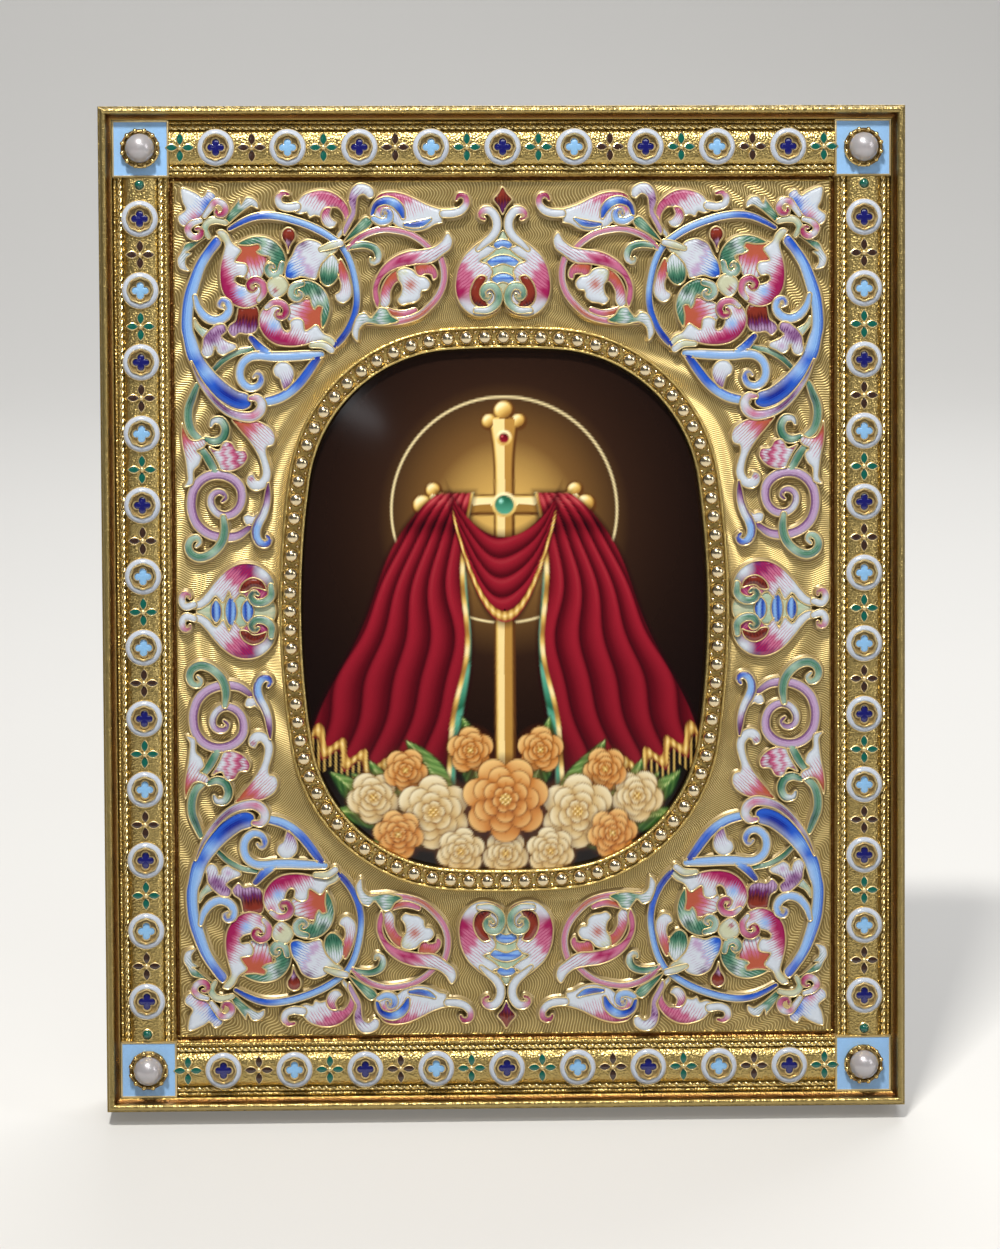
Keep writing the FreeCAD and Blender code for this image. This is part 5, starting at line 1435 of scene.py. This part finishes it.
def paint_ground(art):
    """A dark ground with a glow behind the cross and a thin ring."""
    along, across = art.from_place(0, CROSSING - 3)
    far = np.hypot(along, across * 0.92)
    glow = 0.74 * np.exp(-(far / 21.0) ** 2) + 0.26 * np.exp(-(far / 36.0) ** 2)
    art.lay(np.ones(len(far)), glow, UMBER)
    ring = 0.17 - abs(np.hypot(art.x, art.y - CROSSING + 1) - HALO)
    art.lay(ring, np.full(len(far), 0.90), LEAF_GOLD, blur=0.4)


def paint_cross(art):
    """A bevelled cross with flared arms, budded ends and a round stone at its heart."""
    depths, lights = [], []
    up = math.pi / 2
    arms = ((up, CROSS_UP), (0.0, CROSS_ACROSS), (math.pi, CROSS_ACROSS), (-up, CROSS_DOWN))
    for turn, length in arms:
        along, across = art.from_place(0, CROSSING, turn)
        flare = np.clip(1 - (length - along) / 11, 0, 1) ** 2
        half = 1.75 + 1.25 * flare
        depths.append(np.minimum(np.minimum(half - abs(across), along + 1.75), length - along))
        facing = np.sign(across) * math.cos(turn + math.pi / 2 - 2.2)
        lights.append(0.56 + 0.40 * facing)
        if length < CROSS_DOWN:
            for beyond, off, radius in ((1.2, 0.0, 1.9), (-0.9, 2.9, 1.45), (-0.9, -2.9, 1.45)):
                reach = length + beyond
                x = reach * math.cos(turn) - off * math.sin(turn)
                y = CROSSING + reach * math.sin(turn) + off * math.cos(turn)
                dx, dy = art.from_place(x, y)
                far = np.hypot(dx, dy)
                depths.append(radius - far)
                lights.append(0.55 + 0.5 * (dy - 0.7 * dx) / radius)
    depths = np.array(depths)
    lights = np.array(lights)
    pick = depths.argmax(0)
    index = np.arange(len(art.x))
    depth = depths[pick, index]
    light = lights[pick, index]
    rim = np.clip(1 - depth / 0.5, 0, 1)
    art.lay(depth + 0.35, np.zeros(len(depth)), LEAF_GOLD, blur=0.4)
    art.lay(depth, light - 0.35 * rim, LEAF_GOLD)
    side = CROSS_ACROSS - 3.6
    for turn, reach in ((0.0, 0.0), (up, CROSS_UP - 4.2), (0.0, side), (math.pi, side)):
        x, y = reach * math.cos(turn), CROSSING + reach * math.sin(turn)
        dx, dy = art.from_place(x, y)
        far = np.hypot(dx, dy)
        size = 1.9 if reach == 0 else 1.0
        art.lay(size + 0.55 - far, 0.75 + 0.2 * dy / size, LEAF_GOLD)
        spark = np.exp(-((dx + 0.35 * size) ** 2 + (dy - 0.4 * size) ** 2) / (0.22 * size) ** 2)
        art.lay(size - far, 0.45 - 0.25 * dy / size + spark, TEAL if reach == 0 else CRIMSON)


def paint_hem(art, above, across, cover):
    """A gold band over a cloth's hem, and the fringe that hangs below it."""
    band = np.minimum(np.minimum(above - 0.5, 3.0 - above), cover)
    weave = 0.62 + 0.22 * np.cos(across * 5.2) - 0.30 * abs(above - 1.75)
    art.lay(band, weave, LEAF_GOLD)
    thread = np.minimum(0.16 - abs((across / 1.15) % 1.0 - 0.5) * 1.15, cover)
    length = np.minimum(3.4 + above, 0.2 - above)
    art.lay(np.minimum(thread, length), np.full(len(above), 0.66), LEAF_GOLD, blur=0.3, strength=0.85)


def paint_tail(art, side):
    """A length of crimson cloth that hangs from one arm in widening folds."""
    x = art.x * side
    drop = (CROSSING + 2.2 - art.y) / CLOTH_RUN
    fall = np.clip(drop, 0, 1)
    inner = 6.2 + 3.2 * fall + 1.0 * np.sin(fall * 9.0)
    outer = 13.0 + 30.0 * fall ** 0.72 + 0.9 * np.sin(fall * 11.0)
    share = (x - inner) / (outer - inner)
    wave = CLOTH_FOLDS * share + 0.20 * np.sin(art.y / 6.5 + 3.0 * share) + 0.10 * np.sin(art.y / 2.9)
    hem = CROSSING - CLOTH_RUN + 3.4 + 11.0 * np.clip(share, 0, 1) ** 1.5
    hem = hem + 1.6 * np.sin(2 * math.pi * wave)
    cover = np.minimum(share, 1 - share) * (outer - inner)
    over = 2.4 - np.clip(x - inner, 0, 99) * 0.02 - (art.y - CROSSING)
    depth = np.minimum(np.minimum(cover, over), art.y - hem)
    art.lay(depth + 0.5, np.zeros(len(x)), CRIMSON, blur=1.2, strength=0.8)
    light = 0.10 + 0.82 * folded(wave) * (0.55 + 0.45 * np.clip(1.25 - fall, 0, 1))
    light = light + 0.28 * np.exp(-((art.y - CROSSING - 1.0) / 1.3) ** 2)
    light = light - 0.25 * np.exp(-((art.y - CROSSING + 4.0) / 2.0) ** 2)
    art.lay(depth, light, CRIMSON)
    turned_out = (0.16 + 0.05 * np.sin(art.y / 4.0)) * 12 * fall - (x - inner)
    art.lay(np.minimum(depth, turned_out), 0.25 + 0.6 * folded(2.2 * share + art.y / 9.0), TEAL, blur=0.5)
    edge = 0.42 - abs(turned_out)
    art.lay(np.minimum(depth, edge), 0.55 + 0.3 * np.sin(art.y / 1.3), LEAF_GOLD, blur=0.4)
    paint_hem(art, art.y - hem, x, cover)


def paint_swag(art):
    """Crimson cloth that hangs between the arms in deep curved folds."""
    bow = 1 - (art.x / 10.4) ** 2
    upper = CROSSING + 1.6 - 8.0 * bow
    lower = CROSSING - 2.4 - 21.0 * bow
    fall = np.maximum(upper - lower, 0.5)
    share = (upper - art.y) / fall
    wave = 4.3 * share + 0.10 * np.sin(art.x * 0.55)
    cover = np.minimum(np.minimum(share, 1 - share) * fall, 10.2 - abs(art.x))
    art.lay(cover + 0.9, np.zeros(len(cover)), CRIMSON, blur=1.6, strength=0.7)
    light = 0.12 + 0.80 * folded(1.0 - wave) * (0.62 + 0.38 * bow)
    art.lay(cover, light, CRIMSON)
    reach = (1 - share) * fall
    band = np.minimum(np.minimum(reach - 0.3, 2.2 - reach), 10.2 - abs(art.x))
    art.lay(band, 0.70 - 0.5 * abs(reach - 1.2) + 0.15 * np.cos(art.x * 5.2), LEAF_GOLD)


def paint_leaf(art, x, y, turn, length, half):
    """A pointed leaf from a place along a direction, lit on its upper side."""
    along, across = art.from_place(x, y, turn)
    across = across + 0.05 * along * np.sin(along / length * 3)
    share = np.clip(along / length, 0, 1)
    width = half * np.sin(math.pi * share ** 0.85) ** 0.9
    depth = np.minimum(width - abs(across), np.minimum(along, length - along))
    vein = np.exp(-(across / 0.28) ** 2)
    ribs = 0.12 * np.cos((along + abs(across) * 1.4) * 3.4)
    upper = across * math.cos(turn) > 0
    art.lay(depth + 0.3, np.zeros(len(depth)), LEAVES_PAINT, blur=0.6, strength=0.8)
    art.lay(depth, 0.30 + 0.34 * upper + ribs + 0.35 * vein, LEAVES_PAINT)


def paint_bloom(art, x, y, radius, paint, petals=6, turn=0.0, rings=4):
    """An open flower: rings of round petals, each lit at its rim and dark at its root."""
    dx, dy = art.from_place(x, y)
    far = np.hypot(dx, dy)
    angle = np.arctan2(dy, dx)
    art.lay(radius * 1.04 - far, np.zeros(len(far)), paint, blur=1.6, strength=0.55)
    for ring in range(rings):
        size = radius * (1 - 0.235 * ring)
        count = petals - ring // 2
        phase = turn + 0.5 * ring * 2 * math.pi / count + 0.25 * ring
        part = ((angle - phase) * count / (2 * math.pi)) % 1.0 - 0.5
        lip = size * (1 - 0.62 * abs(part) ** 2.2 * 1.6)
        depth = lip - far
        light = 0.34 + 0.62 * (far / lip) ** 1.6 - 0.42 * (2 * abs(part)) ** 3
        light = light + 0.10 * (dy - 0.5 * dx) / radius
        art.lay(depth + 0.25, np.full(len(far), 0.05), paint, blur=0.5, strength=0.8)
        art.lay(depth, light, paint)
        vein = np.exp(-(part / 0.05) ** 2) * (far < lip * 0.8)
        art.lay(depth, light - 0.16 * vein, paint, strength=0.7)
    eye = radius * 0.14
    seeds = 0.5 + 0.4 * np.cos(dx * 6.0) * np.cos(dy * 6.0)
    art.lay(eye - far, seeds, LEAF_GOLD)


# Leaves on each side: direction, place, length and half width. Pairs of flowers: place, radius,
# paint, petals and turn.
BANK_LEAVES = (
    (1.35, 5.0, 62.0, 17.0, 2.6), (0.95, 10.0, 60.0, 17.0, 2.6), (0.60, 16.0, 57.0, 18.0, 2.7),
    (0.15, 18.0, 57.0, 17.0, 2.6), (1.15, 22.0, 58.0, 13.0, 2.2), (-0.25, 12.0, 56.0, 17.0, 2.4),
    (0.75, 27.0, 60.0, 11.0, 2.0),
)
BANK_FLOWERS = (
    (26.5, 62.5, 5.2, IVORY, 5, 0.4), (7.0, 72.0, 4.6, AMBER, 5, 0.9), (20.0, 68.0, 4.4, AMBER, 5, 0.2),
    (14.5, 59.5, 7.4, IVORY, 6, 0.0), (21.5, 55.0, 5.0, AMBER, 6, 0.7),
)


def painted(places):
    """Colours of the plaque: a draped cross in a glow, over a bank of flowers."""
    art = Painting(*places.T)
    paint_ground(art)
    paint_cross(art)
    for side in (-1, 1):
        paint_tail(art, side)
    paint_swag(art)
    for side in (-1, 1):
        for turn, x, y, length, half in BANK_LEAVES:
            paint_leaf(art, side * x, y, turn if side > 0 else math.pi - turn, length, half)
    for x, y, radius, paint, petals, turn in BANK_FLOWERS:
        for side in (-1, 1):
            paint_bloom(art, side * x, y, radius, paint, petals, turn if side > 0 else math.pi - turn)
    paint_bloom(art, 0.0, 51.0, 4.6, IVORY, 5, math.pi / 2)
    paint_bloom(art, 0.0, 62.0, 8.6, AMBER, 7, math.pi / 2, rings=5)
    paint_bloom(art, 9.0, 51.5, 4.8, IVORY, 6, 0.2)
    paint_bloom(art, -9.0, 51.5, 4.8, IVORY, 6, math.pi - 0.2)
    return art.tint


# The plaque: places round its edge, rings, level of its edge, rise of its dome and the
# distance in from the edge over which it rises
PLAQUE_PLACES = 880
PLAQUE_RINGS = 158
PLAQUE_RIM = 13.5
PLAQUE_SWELL = 2.38
PLAQUE_SHOULDER = 25.0


def plaque(material):
    """The domed plaque as rings that shrink towards its middle and halve their count of
    places on the way."""
    outline = evenly(oval(-0.05), PLAQUE_PLACES)
    middle = np.array([0.0, MIDDLE])
    rings, faces = [], []
    start = last = 0
    for share in np.linspace(1.0, 0.004, PLAQUE_RINGS):
        every = 1 if share > 0.5 else 2 if share > 0.25 else 4
        count = PLAQUE_PLACES // every
        before = start - last
        for k in range(count if last else 0):
            n = (k + 1) % count
            if last == count:
                faces.append((before + k, before + n, start + n, start + k))
            else:
                faces.append((before + 2 * k, before + 2 * k + 1, start + k))
                faces.append((before + 2 * k + 1, start + n, start + k))
                faces.append((before + 2 * k + 1, before + 2 * n, start + n))
        inward = (1 - share) * OPENING[0] / PLAQUE_SHOULDER
        height = PLAQUE_RIM + PLAQUE_SWELL * math.sin(math.pi / 2 * min(inward, 1))
        flat = middle + (outline[::every] - middle) * share
        rings.append(np.column_stack([flat, np.full(count, height)]))
        start += count
        last = count
    points = np.concatenate(rings)
    shape = Shape(points, faces, painted(points[:, :2]))
    rows = [[(x, y, z) for x, y in outline] for z in (PLAQUE_RIM - 0.4, PLAQUE_RIM)]
    skirt = strip(rows, closed_across=True, colour=UMBER[1])
    piece("picture_dome", [shape, skirt], material, ["enamel_plaque"])


# Room and camera


def room():
    """Pale floor that curves up into a backdrop."""
    section = [(-8.0, 0.0), (0.6, 0.0)]
    for k in range(13):
        turn = math.pi / 2 * k / 12
        section.append((0.9 + 0.5 * math.sin(turn), 0.5 - 0.5 * math.cos(turn)))
    section.append((1.4, 2.4))
    mesh = bpy.data.meshes.new("backdrop")
    points = [(x, y, z) for y, z in section for x in (-8.0, 8.0)]
    faces = [(2 * k, 2 * k + 1, 2 * k + 3, 2 * k + 2) for k in range(len(section) - 1)]
    mesh.from_pydata(points, [], faces)
    mesh.shade_smooth()
    finish = Finish("studio_paper")
    cloud = finish.noise(finish.coords, 3.0)
    finish.set(Base_Color=finish.mix(cloud, (0.49, 0.485, 0.47), (0.53, 0.525, 0.51)), Roughness=0.7)
    finish.set(Emission_Color=(1.0, 0.99, 0.97), Emission_Strength=0.17)
    mesh.materials.append(finish.material)
    linked("backdrop", mesh)


def lamp(name, place, target, size, power, tone=(1, 1, 1)):
    """A rectangular lamp that the camera doesn't see itself."""
    data = bpy.data.lights.new(name, "AREA")
    data.shape = "RECTANGLE"
    data.size, data.size_y = size
    data.energy = power
    data.color = tone
    obj = linked(name, data)
    obj.location = place
    way = Vector(target) - Vector(place)
    obj.rotation_euler = way.to_track_quat("-Z", "Y").to_euler()
    obj.visible_camera = False


# Lamps: name, place and target in metres, size, power and, where it isn't white, tone
AIM = (0, 0, 0.1)
LAMPS = (
    ("key", (-0.14, -0.42, 1.00), AIM, (0.14, 0.09), 11.8, (1.0, 0.97, 0.92)),
    ("window", (-0.21, -0.86, 0.455), AIM, (0.10, 0.022), 0.035, (0.93, 0.96, 1.0)),
    ("front", (0.10, -0.80, 0.86), AIM, (0.7, 0.16), 1.7),
    ("side", (0.8, -0.45, 0.46), AIM, (0.25, 0.5), 1.6),
    ("rear", (0.2, 0.7, 0.8), (0, 0.2, 0.1), (0.8, 0.4), 6.0),
)

# Light from all round on the object, and what the camera sees behind the backdrop
ROOM_LIGHT = (0.105, 0.105, 0.11, 1)
ROOM_SEEN = (0.86, 0.86, 0.85, 1)


def lighting():
    """The lamps and the light from all round."""
    for entry in LAMPS:
        lamp(*entry)
    world = bpy.data.worlds.new("studio")
    bpy.context.scene.world = world
    world.use_nodes = True
    tree = world.node_tree
    back = tree.nodes["Background"]
    path = tree.nodes.new("ShaderNodeLightPath")
    pick = tree.nodes.new("ShaderNodeMix")
    pick.data_type = "RGBA"
    pick.inputs[6].default_value = ROOM_LIGHT
    pick.inputs[7].default_value = ROOM_SEEN
    tree.links.new(path.outputs["Is Camera Ray"], pick.inputs["Factor"])
    tree.links.new(pick.outputs[2], back.inputs["Color"])


CAMERA_ANGLE = math.radians(20.67)
CAMERA_PLACE = (-0.0196, -0.6842, 0.2468)
CAMERA_TURN = (math.radians(77.46), 0, math.radians(-1.6))


def camera():
    """The camera, in front of the object and looking slightly down."""
    data = bpy.data.cameras.new("camera")
    data.sensor_fit = "VERTICAL"
    data.angle = CAMERA_ANGLE
    obj = linked("camera", data)
    obj.location = CAMERA_PLACE
    obj.rotation_euler = CAMERA_TURN
    bpy.context.scene.camera = obj
    bpy.context.scene.view_settings.view_transform = "Standard"


def dress(names, material):
    """Give CAD nodes a material."""
    for name in names:
        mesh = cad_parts[name].data
        mesh.materials.clear()
        mesh.materials.append(material)


def bevelled(names, millimetres):
    """Round the edges of CAD nodes a little."""
    for name in names:
        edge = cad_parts[name].modifiers.new("edge", "BEVEL")
        edge.width = millimetres * MM
        edge.segments = 2
        edge.limit_method = "ANGLE"


def main():
    camera()
    lighting()
    room()
    bright = gilt("bright_gilt")
    stippled = gilt("stippled_gilt", (0.58, 0.433, 0.16), (0.24, 0.38), 0.12, pitch=0.42, toned=True)
    walled = cloison("cloison_enamel")
    mouldings(gilt("moulding_gilt", (0.46, 0.345, 0.13), (0.26, 0.38), 0.08, pitch=0.35, toned=True))
    rails(stippled, gilt("wire_gilt", (0.86, 0.70, 0.34), (0.20, 0.32)))
    border_jewels(walled)
    studs(walled)
    corners(bright, nacre("nacre"))
    channel = gilt("channel_gilt", (0.68, 0.505, 0.18), (0.28, 0.42), 0.10, pitch=0.5)
    bezel(channel, gilt("bead_gilt", (0.84, 0.70, 0.45), (0.15, 0.24)))
    dress(["inner_panel"], engraved("engraved_gilt"))
    blocks(walled)
    dress(["back_board", "core_board"], wood("walnut", (0.05, 0.022, 0.010), (0.15, 0.075, 0.035)))
    dress(["strut_leaf"], wood("strut_walnut", (0.06, 0.028, 0.012), (0.18, 0.09, 0.04)))
    dress(["strut_foot_pad"], felt("pad_felt", (0.05, 0.07, 0.05)))
    brass = gilt("hinge_brass", (0.72, 0.50, 0.20), (0.28, 0.42))
    dress(["hinge_plate", "hinge_screws", "hinge_pin", "strut_strap", "back_screws"], brass)
    castings(walled)
    plaque(glossy_picture("picture"))
    bevelled(["back_board", "strut_leaf", "hinge_plate"], 0.3)


main()
